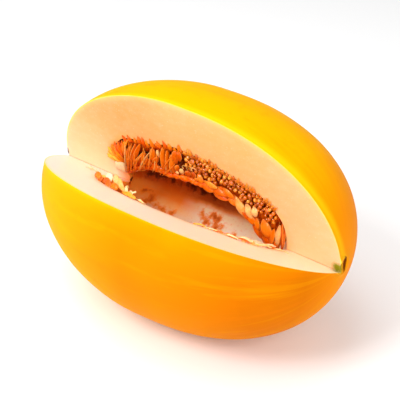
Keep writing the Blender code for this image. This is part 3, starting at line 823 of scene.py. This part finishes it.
def make_lip():
    bm = bmesh.new()
    bmesh.ops.create_grid(bm, x_segments=LIP_STATIONS, y_segments=LIP_SIDES, size=0.5)
    edges = bm.verts.layers.float.new("edge")
    for vert in bm.verts:
        share = vert.co.x + 0.5
        turn = 2 * pi * (vert.co.y + 0.5)
        x = mix(LIP_BLOSSOM_END, LIP_STEM_END, share)
        width = along_points(LIP_WIDTHS, x)
        closing = min(share, 1 - share) / LIP_END_SHARE
        fullness = sqrt(min(closing, 1.0)) if closing > 0.001 else 0.0
        middle = on_upper_face(x, pulp_low(x) + width / 2, LIP_PROUD - LIP_THICKNESS / 2)
        across = outward(UPPER_FACE_ANGLE) * (-cos(turn) * width / 2)
        thick = outward(UPPER_FACE_ANGLE - 90) * (sin(turn) * LIP_THICKNESS / 2)
        vert.co = middle + (across + thick) * fullness
        vert[edges] = max(cos(turn), 0.0)
    close_up(bm, 1e-7)
    mesh = mesh_of("pulp_lip", bm)
    roughen(mesh, LIP_UNEVENNESS, LIP_WAVES, 0.2)
    return new_object("pulp_lip", mesh)


def lip_finish():
    light = ((0.25, 0.10), (0.25, 0.0012), (1.0, 0.35, 0.06))
    made, tree, shader = new_finish("bright_pulp_lip", 0.34, 0.2, *light)
    on = sources_on(tree, ["edge"], LIP_GRAINS)
    on["ragged"] = times(tree, on["clouds"], 0.5, on["edge"])
    pulp = layered(tree, ramp(tree, on["clouds"], LIP_BY_CLOUD), on, LIP_LAYERS)
    wire(tree, shader, pulp, on["fibres"], 0.25, 0.0006)
    return made


lip = make_lip()
lip.data.materials.append(lip_finish())
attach(lip, "root")


# The seeds, each in a thin sheath of wet pulp: flat drops, pointed where they grow from the pulp
# and round at the other end. They are shaped one by one and gathered by where they sit.
SEED_THICKNESS_SHARE = 0.32
CLOSED_OFF = 0.001
CURVE_STEP = 0.02
SEED_UNEVENNESS = 0.00016
SEED_WAVES = ((0.0045, 1.0, 41), (0.0018, 0.6, 42))
SEED_BOW = 0.0009
SEED_GRAINS = (("clouds", 600, 3, 0.6), ("fibres", 900, 2, 0.6, (1, 0.4, 0.4)))
BEAD_CAP_AT = 0.72
BEAD_SLIMNESS = 0.55
ROOT_RECESS = 0.0016
NARROW = 4.8

seeds_face = (outward(UPPER_FACE_ANGLE - 62) + Vector((0.25, 0, 0))).normalized()
draw = random.Random(11)


def tapered(late, slim):
    """Widths from root (0) to tip (1), as shares, by how late they peak and how slim the ends are."""
    def width(share):
        return max(sin(pi * share ** late), 0.0) ** slim
    return width


drop_width = tapered(1.3, 0.62)
blade_width = tapered(1.1, 0.5)
lens_width = tapered(1.0, 0.85)
strand_width = tapered(1.0, 0.4)


def flame_width(share):
    """How wide a lick of pulp is from its broad root to its thin tip, as a share."""
    return min(share / 0.12, 1.0) ** 0.5 * (1 - share) ** 0.75


def bead_width(share):
    """How wide a seed that stands on end is: slim at its root, and a round cap at its tip."""
    if share < BEAD_CAP_AT:
        return mix(BEAD_SLIMNESS, 1.0, share)
    return sqrt(max(1 - ((share - BEAD_CAP_AT) / (1 - BEAD_CAP_AT)) ** 2, 0.0))


def curve_point(points, share):
    """A point on the smooth curve through some points, from the first (0) to the last (1)."""
    run = share * (len(points) - 1)
    index = min(int(run), len(points) - 2)
    part = run - index
    before = points[max(index - 1, 0)]
    here = points[index]
    there = points[index + 1]
    after = points[min(index + 2, len(points) - 1)]
    return 0.5 * (
        2 * here + (there - before) * part + (2 * before - 5 * here + 4 * there - after) * part ** 2
        + (3 * here - before - 3 * there + after) * part ** 3
    )


def add_drop(bm, points, facing, width, thickness, tone, shape=drop_width, steps=8, sides=10):
    """Add a seed or a strand that runs through the points, its flat side facing one way."""
    grid = bmesh.ops.create_grid(bm, x_segments=steps, y_segments=sides, size=0.5)
    tones, alongs, edges = (bm.verts.layers.float[name] for name in ("tone", "along", "edge"))
    for vert in grid["verts"]:
        share = (1 - cos(pi * (vert.co.x + 0.5))) / 2
        turn = 2 * pi * (vert.co.y + 0.5)
        centre = curve_point(points, share)
        ahead = curve_point(points, min(share + CURVE_STEP, 1))
        lengthwise = ahead - curve_point(points, max(share - CURVE_STEP, 0))
        across = lengthwise.cross(facing).normalized()
        flat = across.cross(lengthwise).normalized()
        size = shape(share) if CLOSED_OFF < share < 1 - CLOSED_OFF else 0.0
        vert.co = centre + across * (cos(turn) * width / 2 * size)
        vert.co += flat * (sin(turn) * thickness / 2 * size)
        vert[tones] = tone
        vert[alongs] = share
        vert[edges] = abs(cos(turn))


def add_seed(bm, root, tip, width, turn, tone, shape=drop_width):
    """Add a seed from its root to its tip, with its flat side turned about its length by an angle."""
    flat_way = Matrix.Rotation(radians(turn), 3, (tip - root).normalized()) @ seeds_face
    middle = (root + tip) / 2 + seeds_face * SEED_BOW
    add_drop(bm, [root, middle, tip], flat_way, width, width * SEED_THICKNESS_SHARE, tone, shape)


def add_shown(bm, shown, proud, narrow_shape, fullness=1.0):
    """Add the seeds of a list: x and reach of the root and of the tip, width, turn and tone, in mm."""
    for root_x, root_reach, tip_x, tip_reach, width, turn, tone in shown:
        root = on_upper_face(root_x / 1000, root_reach / 1000, proud - ROOT_RECESS)
        tip = on_upper_face(tip_x / 1000, tip_reach / 1000, proud)
        shape = narrow_shape if width < NARROW else drop_width
        add_seed(bm, root, tip, width / 1000 * fullness, turn, tone, shape)


def add_bowed(bm, root, tip, bow, width, thickness, tone, shape, steps=8, sides=6):
    """Add a strand or a lick of pulp from its root to its tip, bowed in its middle."""
    points = [root, (root + tip) / 2 + bow, tip]
    add_drop(bm, points, seeds_face, width, thickness, tone, shape, steps, sides)


def stray(reach):
    """A random step of up to a reach, either way."""
    return draw.uniform(-reach, reach)


def new_bunch():
    """An empty mesh for seeds. It keeps their tones, and how far along and near the edge a place is."""
    bm = bmesh.new()
    for name in ("tone", "along", "edge"):
        bm.verts.layers.float.new(name)
    return bm


def finish_bunch(name, bm, finish, unevenness=1.0):
    """Close the seeds' ends and make them one piece of the fruit."""
    close_up(bm, 1e-7)
    mesh = mesh_of(name, bm)
    mesh.materials.append(finish)
    roughen(mesh, SEED_UNEVENNESS * unevenness, SEED_WAVES)
    made = new_object(name, mesh)
    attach(made, "root")
    return made


def seed_finish(name, tones, edge_highlight_and_fibre_colour, edge_highlight_share, shaded_root_colour, roughness=0.3, coat=0.2):
    """Wet pulp over seeds, coloured by their tones, with a painted highlight along the edge, painted shade at
    the root, and the edge's colour on the fibres.
    """
    light = ((coat, 0.07), (0.20, 0.0010), (1.0, 0.42, 0.08))
    made, tree, shader = new_finish(name, roughness, 0.2, *light)
    shader.inputs["Coat IOR"].default_value = 1.6
    on = sources_on(tree, ("tone", "along", "edge"), SEED_GRAINS)
    seed = ramp(tree, spread_out(tree, times(tree, on["clouds"], 0.35, on["tone"]), 0.17, 1.17), tones)
    # Painted shade towards the root and a painted highlight along the edges; the fibres take the edge's
    # colour.
    seed = layered(tree, seed, on, (
        (("along", 0.40, 0.0), 0.7, shaded_root_colour), (("edge", 0.76, 1.0), edge_highlight_share, edge_highlight_and_fibre_colour),
        (("fibres", 0.58, 0.75), 0.35, edge_highlight_and_fibre_colour),
    ))
    wire(tree, shader, seed, on["fibres"], 0.22, 0.0005)
    return made


orange_seeds = seed_finish("seeds_in_orange_pulp", (
    (0.0, (150, 46, 0)), (0.30, (220, 86, 0)), (0.58, (242, 116, 4)), (0.80, (250, 148, 40)),
    (1.0, (252, 194, 122)),
), (254, 174, 76), 0.75, (222, 84, 0))

# The fan at the blossom side: long sheaths that spread from one point of the lip, some with their
# light edges and some with their flat sides to the front.
FAN = (
    (-53.0, 8.5, -45.2, 34.5, 3.2, 62, 0.78), (-52.0, 9.5, -47.8, 31.0, 3.4, 35, 0.30),
    (-51.5, 10.5, -41.5, 35.5, 4.0, 45, 0.40), (-50.5, 12.0, -37.6, 37.0, 4.0, 30, 0.48),
    (-51.0, 11.5, -34.2, 33.0, 3.0, 60, 0.78), (-49.0, 12.0, -35.2, 30.8, 2.4, 66, 0.80),
    (-46.0, 14.0, -33.6, 31.6, 3.6, 25, 0.25), (-42.0, 16.5, -32.0, 30.2, 3.0, 58, 0.86),
    (-41.0, 17.0, -31.0, 27.5, 3.6, 20, 0.35), (-37.5, 18.0, -30.5, 25.5, 4.2, 12, 0.42),
    (-30.4, 21.8, -27.2, 37.6, 5.6, 4, 0.55), (-30.0, 22.6, -23.6, 32.4, 4.6, 34, 0.52),
    (-22.9, 30.8, -23.8, 37.8, 2.8, 40, 0.98),
)
FAN_BACK = 10
FAN_STRANDS = 15
fan = new_bunch()
add_shown(fan, FAN, 0.0004, blade_width, 0.86)
# Seeds deep behind the fan, given darker tones as painted shade.
for count in range(FAN_BACK):
    share = count / (FAN_BACK - 1)
    root_x = mix(-0.0525, -0.0250, share)
    tip_x = mix(-0.0530, -0.0215, share) + stray(0.0008)
    root = on_upper_face(root_x, mix(pulp_low(root_x), wall_reach(root_x), 0.45), -0.0056)
    tip = on_upper_face(tip_x, wall_reach(tip_x) + draw.uniform(-0.0026, 0.0003), -0.0022)
    add_seed(fan, root, tip, draw.uniform(0.0036, 0.0052), stray(40), draw.uniform(0.0, 0.3))
for count in range(FAN_STRANDS):
    root_x = mix(-0.0535, -0.0215, (count / (FAN_STRANDS - 1)) ** 1.4) + stray(0.0008)
    tip_x = root_x + draw.uniform(0.0020, 0.0130)
    low = pulp_low(root_x)
    root = on_upper_face(root_x, low + 0.0008, 0.0008)
    tip = on_upper_face(tip_x, mix(low, wall_reach(tip_x), draw.uniform(0.45, 0.95)), 0.0010)
    bow = Vector((stray(0.0012), 0, 0)) + seeds_face * 0.0006
    add_bowed(fan, root, tip, bow, 0.0010, 0.0010, draw.uniform(0.5, 0.95), strand_width)
finish_bunch("seed_fan", fan, orange_seeds)

# The upright seeds next to the fan: long, side by side, with dark hollows between them, and two
# pale ones low down.
UPRIGHT = (
    (-21.6, 18.2, -19.0, 41.6, 4.0, 32, 0.58), (-19.4, 19.0, -17.2, 34.0, 2.6, 60, 0.85),
    (-17.6, 20.0, -15.6, 40.6, 3.4, 45, 0.50), (-15.4, 21.0, -14.0, 33.5, 2.4, 62, 0.82),
    (-13.4, 21.4, -12.4, 38.6, 3.9, 24, 0.60), (-11.0, 30.5, -9.2, 42.5, 5.2, 10, 0.40),
    (-7.8, 34.0, -5.6, 43.4, 5.0, -12, 0.34), (-6.4, 24.2, -5.6, 30.4, 3.8, 6, 0.98),
    (-12.0, 23.0, -8.4, 26.4, 2.6, 20, 1.10), (-9.8, 25.0, -8.8, 32.0, 3.6, 30, 0.46),
    (-3.6, 24.0, 0.6, 30.6, 5.0, 12, 0.22), (0.6, 24.8, 4.8, 31.2, 5.2, -10, 0.16),
    (6.2, 30.4, 10.2, 25.8, 4.2, 0, 0.62), (2.6, 23.6, 6.6, 27.4, 3.4, 22, 0.70),
)
UPRIGHT_BACK = 6
CURLS = 6
CURL_RADII = (0.0022, 0.0020)
upright = new_bunch()
add_shown(upright, UPRIGHT, 0.0003, blade_width, 0.90)
# Seeds deep behind the upright ones, given darker tones as painted shade.
for count in range(UPRIGHT_BACK):
    x = mix(-0.0235, -0.0020, count / (UPRIGHT_BACK - 1)) + stray(0.0006)
    root = on_upper_face(x, wall_reach(x) - 0.0125, -0.0060)
    tip = on_upper_face(x + stray(0.001), wall_reach(x) - draw.uniform(-0.0002, 0.0028), -0.0024)
    add_seed(upright, root, tip, draw.uniform(0.0036, 0.0050), stray(30), draw.uniform(0.0, 0.45))
for count in range(CURLS):
    x = mix(-0.0030, 0.0050, count / (CURLS - 1)) + stray(0.0008)
    reach = pulp_low(x) + 0.0125 + stray(0.0010)
    points = [
        on_upper_face(x + CURL_RADII[0] * cos(turn), reach + CURL_RADII[1] * sin(turn), 0.0006)
        for turn in (0.4, 1.6, 2.9, 4.1)
    ]
    add_drop(upright, points, seeds_face, 0.00045, 0.00045, draw.uniform(0.6, 1.0), strand_width, 10, 5)
finish_bunch("upright_seeds", upright, orange_seeds)

# The rows of seed ends: hundreds of seeds stand on end along the wall, packed so closely that only
# their round, golden, shiny ends show.
ENDS_FROM = -0.0010
ENDS_TO = 0.0640
END_ROWS = 7
END_PITCH = 0.00255
END_LENGTH = 0.0080
ENDS_LOWER_EDGE = ((-0.001, 0.0335), (0.015, 0.0302), (0.030, 0.0288), (0.044, 0.0240), (0.060, 0.0160))
LARGE_ENDS = ((4.3, 40.4, 4.6), (24.5, 38.6, 3.6), (33.0, 36.4, 4.2), (45.5, 31.6, 3.6), (57.5, 25.6, 3.4))
LARGE_END_LENGTH = 0.0085
LARGE_END_ROOM = 0.4
golden_seeds = seed_finish("golden_seed_ends", (
    (0.0, (150, 56, 0)), (0.35, (194, 84, 0)), (0.7, (226, 114, 4)), (1.0, (246, 164, 54)),
), (250, 174, 70), 0.2, (140, 52, 0), 0.2, 0.9)


def wall_slope(x):
    """How steeply the wall's reach rises along the fruit at x."""
    return (wall_reach(x + 0.001) - wall_reach(x - 0.001)) / 0.002


def off_large_ends(x, reach):
    """How far a place is from the rim of the nearest large seed end, in mm."""
    place = Vector((x, reach)) * 1000
    return min((place - Vector((at, up))).length - wide / 2 for at, up, wide in LARGE_ENDS)


end_way = (outward(30) + Vector((0.30, 0, 0))).normalized()
ends = new_bunch()
for row in range(END_ROWS):
    x = ENDS_FROM + 0.5 * END_PITCH * (row % 2)
    while x < ENDS_TO:
        stretch = sqrt(1 + wall_slope(x) ** 2)
        place_x = x + stray(0.0005)
        reach = wall_reach(x) - 0.0009 - 0.9 * END_PITCH * row * stretch + stray(0.0005)
        size = draw.uniform(0.0026, 0.0035)
        lean = Vector((stray(0.22), stray(0.1), stray(0.22)))
        tip = on_upper_face(place_x, reach, stray(0.0010))
        tone = draw.uniform(0.1, 1.0)
        turned = Vector((1, 0, 0)) + outward(UPPER_FACE_ANGLE) * stray(1.2)
        x += END_PITCH / stretch
        too_low = reach < along_points(ENDS_LOWER_EDGE, place_x)
        if too_low or off_large_ends(place_x, reach) < LARGE_END_ROOM:
            continue
        root = tip - (end_way + lean).normalized() * END_LENGTH
        add_drop(ends, [root, tip], turned, size, size * 0.8, tone, bead_width, 7, 8)
for at, up, wide in LARGE_ENDS:
    tip = on_upper_face(at / 1000, up / 1000, 0.0010)
    root = tip - end_way * LARGE_END_LENGTH
    add_drop(ends, [root, tip], Vector((1, 0, 0.4)), wide / 1000, wide / 1150, 0.42, bead_width, 10, 12)
finish_bunch("seed_ends", ends, golden_seeds)

# The flat seeds along the lip: they lie one behind the other on it, with their flat sides showing.
# They are held by the wet pulp alone.
FLAT_ONES = (
    (10.5, 27.0, 22.0, 27.2, 4.2, 16, 0.74), (15.5, 24.6, 29.5, 24.0, 4.6, 4, 0.40),
    (17.0, 22.0, 30.0, 21.0, 4.2, -12, 0.32), (8.5, 23.0, 19.5, 23.6, 4.2, 10, 0.45),
    (24.5, 27.8, 34.5, 24.8, 4.2, 14, 0.55), (28.5, 23.6, 36.6, 19.6, 4.3, 0, 0.50),
    (33.6, 25.6, 42.4, 13.8, 5.8, 6, 0.86), (42.0, 23.6, 46.4, 14.2, 4.6, 4, 0.94),
    (48.0, 23.4, 49.2, 16.6, 4.3, -6, 1.05), (42.6, 16.2, 48.0, 10.2, 4.8, 10, 0.52),
    (38.6, 20.4, 45.0, 11.4, 4.2, -20, 0.30),
)
flat_ones = new_bunch()
add_shown(flat_ones, FLAT_ONES, 0.0012, lens_width)
finish_bunch("flat_seeds", flat_ones, orange_seeds)

# The hanging seeds at the stem side: the largest, hung in stringy pulp that ends in whitish fibres.
# Behind them hang others, deep in the pulp, given darker tones as painted shade.
HANGING = (
    (48.8, 15.0, 50.6, 6.6, 4.2, 14, 0.58), (53.6, 16.4, 58.4, 4.8, 6.8, 2, 0.62),
    (48.6, 9.6, 57.2, -0.8, 5.0, 18, 0.14), (52.6, 8.0, 59.0, -3.0, 4.4, -8, 0.26),
    (61.8, 12.6, 58.8, -1.6, 4.4, 30, 0.60), (66.0, 17.2, 63.2, 0.6, 4.8, 26, 0.96),
    (67.6, 19.0, 67.4, 0.4, 4.2, 50, 0.30), (69.0, 15.5, 67.0, -1.6, 3.6, 20, 0.22),
    (64.4, 8.0, 61.6, -4.0, 4.0, 12, 0.44), (56.6, 3.0, 61.4, -5.2, 3.8, 20, 0.55),
    (45.6, 9.0, 53.0, 1.0, 4.2, 24, 0.36), (50.6, 5.0, 57.6, -5.0, 3.4, 35, 0.66),
)
HANGING_BACK = 10
HANGING_STRANDS = 16
hanging = new_bunch()
add_shown(hanging, HANGING, 0.0012, lens_width)
for count in range(HANGING_BACK):
    x = mix(0.0480, 0.0660, count / (HANGING_BACK - 1)) + stray(0.0008)
    root = on_upper_face(x, wall_reach(x) - 0.0095, -0.0066)
    tip = on_upper_face(x + draw.uniform(-0.002, 0.001), max(wall_reach(x) - 0.0230, -0.002), -0.0030)
    add_seed(hanging, root, tip, draw.uniform(0.0040, 0.0052), stray(35), draw.uniform(0.05, 0.4))
for count in range(HANGING_STRANDS):
    root_x = mix(0.0520, 0.0680, count / (HANGING_STRANDS - 1)) + stray(0.001)
    root = on_upper_face(root_x, draw.uniform(0.000, 0.010), stray(0.001))
    tip = on_upper_face(mix(root_x, 0.0615, 0.6), draw.uniform(-0.0068, -0.0030), stray(0.001))
    bow = Vector((stray(0.0015), 0, 0))
    add_bowed(hanging, root, tip, bow, 0.0010, 0.0007, draw.uniform(0.5, 1.2), strand_width, 8, 5)
finish_bunch("hanging_seeds", hanging, orange_seeds)

# The licks of pulp along the wall: soft, thin tips that cling to the flesh past the cavity's edge.
# At the blossom side they stand close together as one bushy tuft.
TUFT_HEART = (-0.0570, 0.0170)
TUFT_LICKS = 44
TUFT_FROM = -8
TUFT_TO = 118
TUFT_STEP = 0.0005
TUFT_LONGEST = 0.03
WALL_LICKS = 62
SEED_ENDS_START = -0.004

# Runs, widths and tones of the wall's licks: beside the upright seeds, and over the seed ends.
LICKS_BESIDE = ((0.0034, 0.0072), (0.0030, 0.0048), (0.1, 0.6))
LICKS_OVER_ENDS = ((0.0022, 0.0064), (0.0026, 0.0044), (0.35, 0.95))
lick_pulp = seed_finish("licks_of_pulp", (
    (0.0, (222, 74, 0)), (0.35, (248, 100, 0)), (0.65, (255, 150, 14)), (1.0, (255, 196, 60)),
), (255, 166, 20), 0.4, (236, 82, 0), 0.4, 0.2)
licks = new_bunch()
for count in range(TUFT_LICKS):
    turn = radians(mix(TUFT_FROM, TUFT_TO, (count + draw.uniform(0.0, 1.0)) / TUFT_LICKS))
    root_x = TUFT_HEART[0] + stray(0.0020)
    root_reach = TUFT_HEART[1] + draw.uniform(-0.0042, 0.0030)
    root = on_upper_face(root_x, root_reach, 0.0010 * (count % 3) - 0.0030)
    way_x = -cos(turn)
    way_up = sin(turn)
    edge_run = 0.0
    while TUFT_HEART[1] + way_up * edge_run < wall_reach(TUFT_HEART[0] + way_x * edge_run):
        if edge_run >= TUFT_LONGEST:
            break
        edge_run += TUFT_STEP
    run = edge_run * draw.uniform(0.86, 1.0) + draw.uniform(-0.0002, 0.0026)
    proud = 0.0011 if run > edge_run else 0.0002
    tip = on_upper_face(TUFT_HEART[0] + way_x * run, TUFT_HEART[1] + way_up * run, proud)
    tone = mix(0.2, 0.95, abs(cos(turn))) + stray(0.2)
    width = draw.uniform(0.0030, 0.0052)
    add_bowed(licks, root, tip, seeds_face * 0.0022, width, 0.0014, tone, flame_width)
golden_licks = new_bunch()
for count in range(WALL_LICKS):
    x = mix(-0.0500, 0.0620, (count + draw.uniform(0.1, 0.9)) / WALL_LICKS)
    beside_seeds = x < SEED_ENDS_START
    if beside_seeds and count % 2:
        continue
    bunch = licks if beside_seeds else golden_licks
    runs, widths, tones = LICKS_BESIDE if beside_seeds else LICKS_OVER_ENDS
    outwards = Vector((-wall_slope(x), 1.0)).normalized()
    base = wall_reach(x) - 0.0022
    run = draw.uniform(*runs)
    root = on_upper_face(x, base - 0.0016, -0.0012)
    tip = on_upper_face(x + outwards.x * run + stray(0.0010), base + outwards.y * run, 0.0006)
    width = draw.uniform(*widths)
    add_bowed(bunch, root, tip, seeds_face * 0.0012, width, 0.0012, draw.uniform(*tones), flame_width, 7, 6)
finish_bunch("pulp_licks", licks, lick_pulp)
finish_bunch("golden_licks", golden_licks, golden_seeds)

# The pale seed: one full-grown seed without its sheath, cream white. It is lodged under the tuft,
# with its pointed end in the pulp.
pale_seed_skin = seed_finish("bare_cream_seed", (
    (0.0, (236, 184, 116)), (0.5, (246, 208, 156)), (1.0, (250, 222, 184)),
), (252, 226, 190), 0.5, (246, 196, 130), 0.34)
pale_seed = new_bunch()
root = on_upper_face(-0.0538, 0.0068, -0.0004)
add_seed(pale_seed, root, on_upper_face(-0.0604, 0.0162, 0.0012), 0.0066, 6, 0.45)
finish_bunch("pale_seed", pale_seed, pale_seed_skin)

# The seeds on the bunch's hollow side: they hang from its underside into the emptied cavity, in
# rows from the lip back to the wall.
UNDERSIDE_ROWS = 4
UNDERSIDE_A_ROW = 15
UNDERSIDE_ROW_STEP = 0.19
UNDERSIDE_SEED_LENGTH = 0.0105
hollow_side = new_bunch()
sag = outward(UPPER_FACE_ANGLE) * 0.0012
for row in range(UNDERSIDE_ROWS):
    for count in range(UNDERSIDE_A_ROW):
        x = mix(-0.0470, 0.0520, (count + 0.5 * (row % 2) + stray(0.2)) / UNDERSIDE_A_ROW)
        root = pulp_underside(x, 0.10 + UNDERSIDE_ROW_STEP * row)
        along = pulp_underside(x + draw.uniform(0.004, 0.009), 0.24 + UNDERSIDE_ROW_STEP * row)
        tip = root + (along - root).normalized() * UNDERSIDE_SEED_LENGTH - sag
        points = [root, (root + tip) / 2 - sag, inside_cavity(tip)]
        width = draw.uniform(0.0040, 0.0050)
        add_drop(hollow_side, points, -outward(UPPER_FACE_ANGLE), width, 0.0018, draw.uniform(0.15, 0.85))
finish_bunch("hollow_side_seeds", hollow_side, orange_seeds)


# The scraps of pulp left on the lower rim at the blossom side: a heap of orange pulp with pale
# sheaths, a bare white seed and torn fibres. It hangs over the rim, down the cavity's wall.
BLOSSOM_SCRAPS = (
    (-60.0, 27.6, 0.6, -53.0, 31.5, 2.0, 4.6, 0.34), (-56.5, 29.6, 0.4, -50.5, 33.4, 1.6, 3.8, 0.10),
    (-51.0, 32.6, 0.6, -44.5, 36.2, 2.0, 4.2, 0.10), (-46.5, 34.4, 0.6, -39.5, 38.0, 1.4, 4.0, 0.16),
    (-41.0, 36.0, 0.6, -33.0, 39.2, 1.6, 4.2, 0.34), (-36.0, 37.2, 1.4, -49.5, 25.0, 4.8, 4.6, 0.88),
    (-27.0, 39.2, 1.2, -43.0, 29.5, 4.0, 4.2, 0.80), (-30.0, 39.4, 0.8, -17.0, 41.6, 0.9, 3.0, 0.55),
    (-25.0, 39.6, 0.8, -30.0, 36.0, 3.4, 3.0, 0.95), (-22.0, 40.0, 0.8, -26.0, 36.4, 3.0, 2.6, 1.0),
    (-21.5, 40.2, 0.8, -20.0, 38.6, 4.4, 1.6, 1.1), (-23.5, 40.0, 0.8, -23.5, 38.0, 3.8, 1.4, 1.1),
    (-19.5, 40.4, 0.6, -8.0, 42.2, 0.5, 0.9, 0.9), (-81.0, 13.4, 0.2, -70.0, 14.4, 0.3, 0.8, 0.95),
    (-71.0, 14.2, 0.3, -60.0, 25.5, 0.8, 0.9, 0.85), (-55.5, 30.0, 1.0, -50.5, 30.6, 3.6, 2.2, 0.7),
)
WHITE_SEED = ((-0.0440, 0.0330, 0.0026), (-0.0478, 0.0305, 0.0040), (-0.0522, 0.0284, 0.0042))
THREAD_UNDER = 2
SCRAP_ARCH = 0.08
SCRAP_THICKNESS_SHARE = 0.34
HANGING_GAP = 0.0012
HANGING_SCRAPS = 9
scrap_pulp = seed_finish("torn_pulp_scraps", (
    (0.0, (216, 76, 0)), (0.30, (242, 104, 0)), (0.55, (250, 156, 30)), (0.80, (244, 184, 96)),
    (1.0, (247, 206, 154)),
), (252, 196, 104), 0.45, (244, 116, 10), 0.40, 0.12)


def on_lower_face(x, reach, proud=0.0):
    """A point at a distance from the wedge's edge along its lower face, and above that face."""
    return edge_point(x) + outward(LOWER_FACE_ANGLE) * reach - outward(LOWER_FACE_ANGLE - 90) * proud


def add_scraps(bm, scraps):
    """Add the scraps of a list: x, reach and height of both ends, width, tone, with lengths in mm."""
    for x0, reach0, high0, x1, reach1, high1, width, tone in scraps:
        start = on_lower_face(x0 / 1000, reach0 / 1000, high0 / 1000)
        end = on_lower_face(x1 / 1000, reach1 / 1000, high1 / 1000)
        middle = (start + end) / 2 + Vector((0, 0, SCRAP_ARCH * (end - start).length))
        middle += Vector((stray(0.4), 0, draw.uniform(0, 0.4))) * width / 1000
        turned = Vector((stray(0.3), -0.8, 1.0))
        shape = strand_width if width < THREAD_UNDER else blade_width
        thickness = width / 1000 * SCRAP_THICKNESS_SHARE
        add_drop(bm, [start, middle, end], turned, width / 1000, thickness, tone, shape)


def add_hanging_scraps(bm, low, high, down_to, tones):
    """Add torn strands that hang from the lower rim and cling to the cavity's wall."""
    for step in range(HANGING_SCRAPS):
        x = mix(low, high, (step + draw.uniform(0.2, 0.8)) / HANGING_SCRAPS)
        stop = mix(LOWER_FACE_ANGLE, down_to, draw.uniform(0.55, 1.0))
        lean = stray(0.004)
        points = []
        for part in (0.0, 0.35, 0.7, 1.0):
            angle = mix(LOWER_FACE_ANGLE - 3.0, stop, part)
            points.append(inside_cavity(around_axis(x + lean * part, angle, WIDEST_RADIUS), HANGING_GAP))
        turned = -outward(mix(LOWER_FACE_ANGLE, stop, 0.5))
        width = draw.uniform(0.0028, 0.0056)
        add_drop(bm, points, turned, width, 0.0014, draw.uniform(*tones), blade_width, 10, 8)


blossom_scraps = new_bunch()
add_scraps(blossom_scraps, BLOSSOM_SCRAPS)
add_hanging_scraps(blossom_scraps, -0.0610, -0.0330, -11, (0.1, 0.8))
blossom_heap = finish_bunch("blossom_end_scraps", blossom_scraps, scrap_pulp, 3.4)
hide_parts("pulp_scrap_blossom_end")
white_seed = new_bunch()
places = [on_lower_face(*place) for place in WHITE_SEED]
add_drop(white_seed, places, Vector((0.2, -0.8, 0.8)), 0.0060, 0.0022, 1.4)
finish_bunch("white_seed", white_seed, pale_seed_skin)

# The scraps on the lower rim at the stem side: a thin torn skin of pulp along the edge of the cut,
# curled up here and there, pale on top and reddish below.
STEM_SCRAPS = (
    (24.0, 36.6, 0.3, 31.0, 34.2, 0.8, 1.2, 0.62), (26.0, 35.6, 0.3, 29.0, 34.0, 1.4, 0.8, 0.60),
    (30.0, 34.6, 0.2, 40.0, 31.2, 0.5, 0.8, 0.90), (36.0, 32.6, 0.2, 47.0, 29.6, 0.5, 0.8, 0.20),
    (42.0, 30.8, 0.2, 52.0, 28.8, 0.7, 1.1, 0.98), (48.0, 29.6, 0.2, 60.0, 25.4, 0.6, 0.8, 0.10),
    (50.0, 28.8, 0.4, 58.0, 24.0, 1.5, 1.7, 0.98), (54.0, 27.6, 0.2, 63.0, 21.6, 1.2, 1.5, 0.94),
    (56.0, 25.8, 0.4, 62.0, 19.0, 1.8, 1.3, 1.05), (60.0, 25.0, 0.2, 68.0, 15.6, 0.8, 1.4, 0.90),
    (62.0, 23.6, 0.2, 69.5, 12.0, 0.5, 0.8, 0.15), (64.0, 20.6, 0.3, 68.0, 11.0, 1.2, 1.4, 1.05),
    (68.0, 15.0, 0.2, 76.0, 9.0, 0.2, 0.6, 0.90), (58.0, 23.0, 0.5, 61.0, 20.0, 2.4, 0.8, 1.1),
)
stem_scraps = new_bunch()
add_scraps(stem_scraps, STEM_SCRAPS)
add_hanging_scraps(stem_scraps, 0.0260, 0.0610, 4.7, (0.3, 0.9))
stem_shreds = finish_bunch("stem_end_scraps", stem_scraps, scrap_pulp, 2.2)
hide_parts("pulp_scrap_stem_end")


# The table it lies on, and the daylight of a white studio: a large soft light from above and the
# left, one from the front, a weaker one from the right, and pale walls all round.
FLOOR_SIZE = 6.0
FLOOR_DROP = 0.0002
STUDIO_LIGHTS = (
    ("top_light", (-0.35, -0.10, 1.35), 1.0, 7.5),
    ("front_light", (-0.30, -0.88, 1.03), 0.50, 10.8),
    ("side_light", (1.0, -0.72, 0.85), 0.8, 11),
)
WORLD_LIGHT = 0.45

floor_mesh = bmesh.new()
bmesh.ops.create_grid(floor_mesh, x_segments=2, y_segments=2, size=FLOOR_SIZE / 2)
bmesh.ops.translate(floor_mesh, verts=floor_mesh.verts, vec=(0, 0, -FLOOR_DROP))
table = new_object("table", mesh_of("table", floor_mesh))
table_finish, _, table_shader = new_finish("pale_table", 0.6, 0.5)
table_shader.inputs["Base Color"].default_value = colour((250, 250, 250))
table.data.materials.append(table_finish)

for name, place, size, power in STUDIO_LIGHTS:
    glow = bpy.data.lights.new(name, "AREA")
    glow.size = size
    glow.energy = power
    lamp = bpy.data.objects.new(name, glow)
    lamp.location = place
    lamp.rotation_euler = (Vector((0, 0, AXIS_HEIGHT)) - Vector(place)).to_track_quat("-Z", "Y").to_euler()
    bpy.context.scene.collection.objects.link(lamp)
studio = bpy.data.worlds.new("white_studio")
studio.use_nodes = True
studio.node_tree.nodes["Background"].inputs["Color"].default_value = (1, 1, 1, 1)
studio.node_tree.nodes["Background"].inputs["Strength"].default_value = WORLD_LIGHT
bpy.context.scene.world = studio
bpy.context.scene.view_settings.view_transform = "Standard"
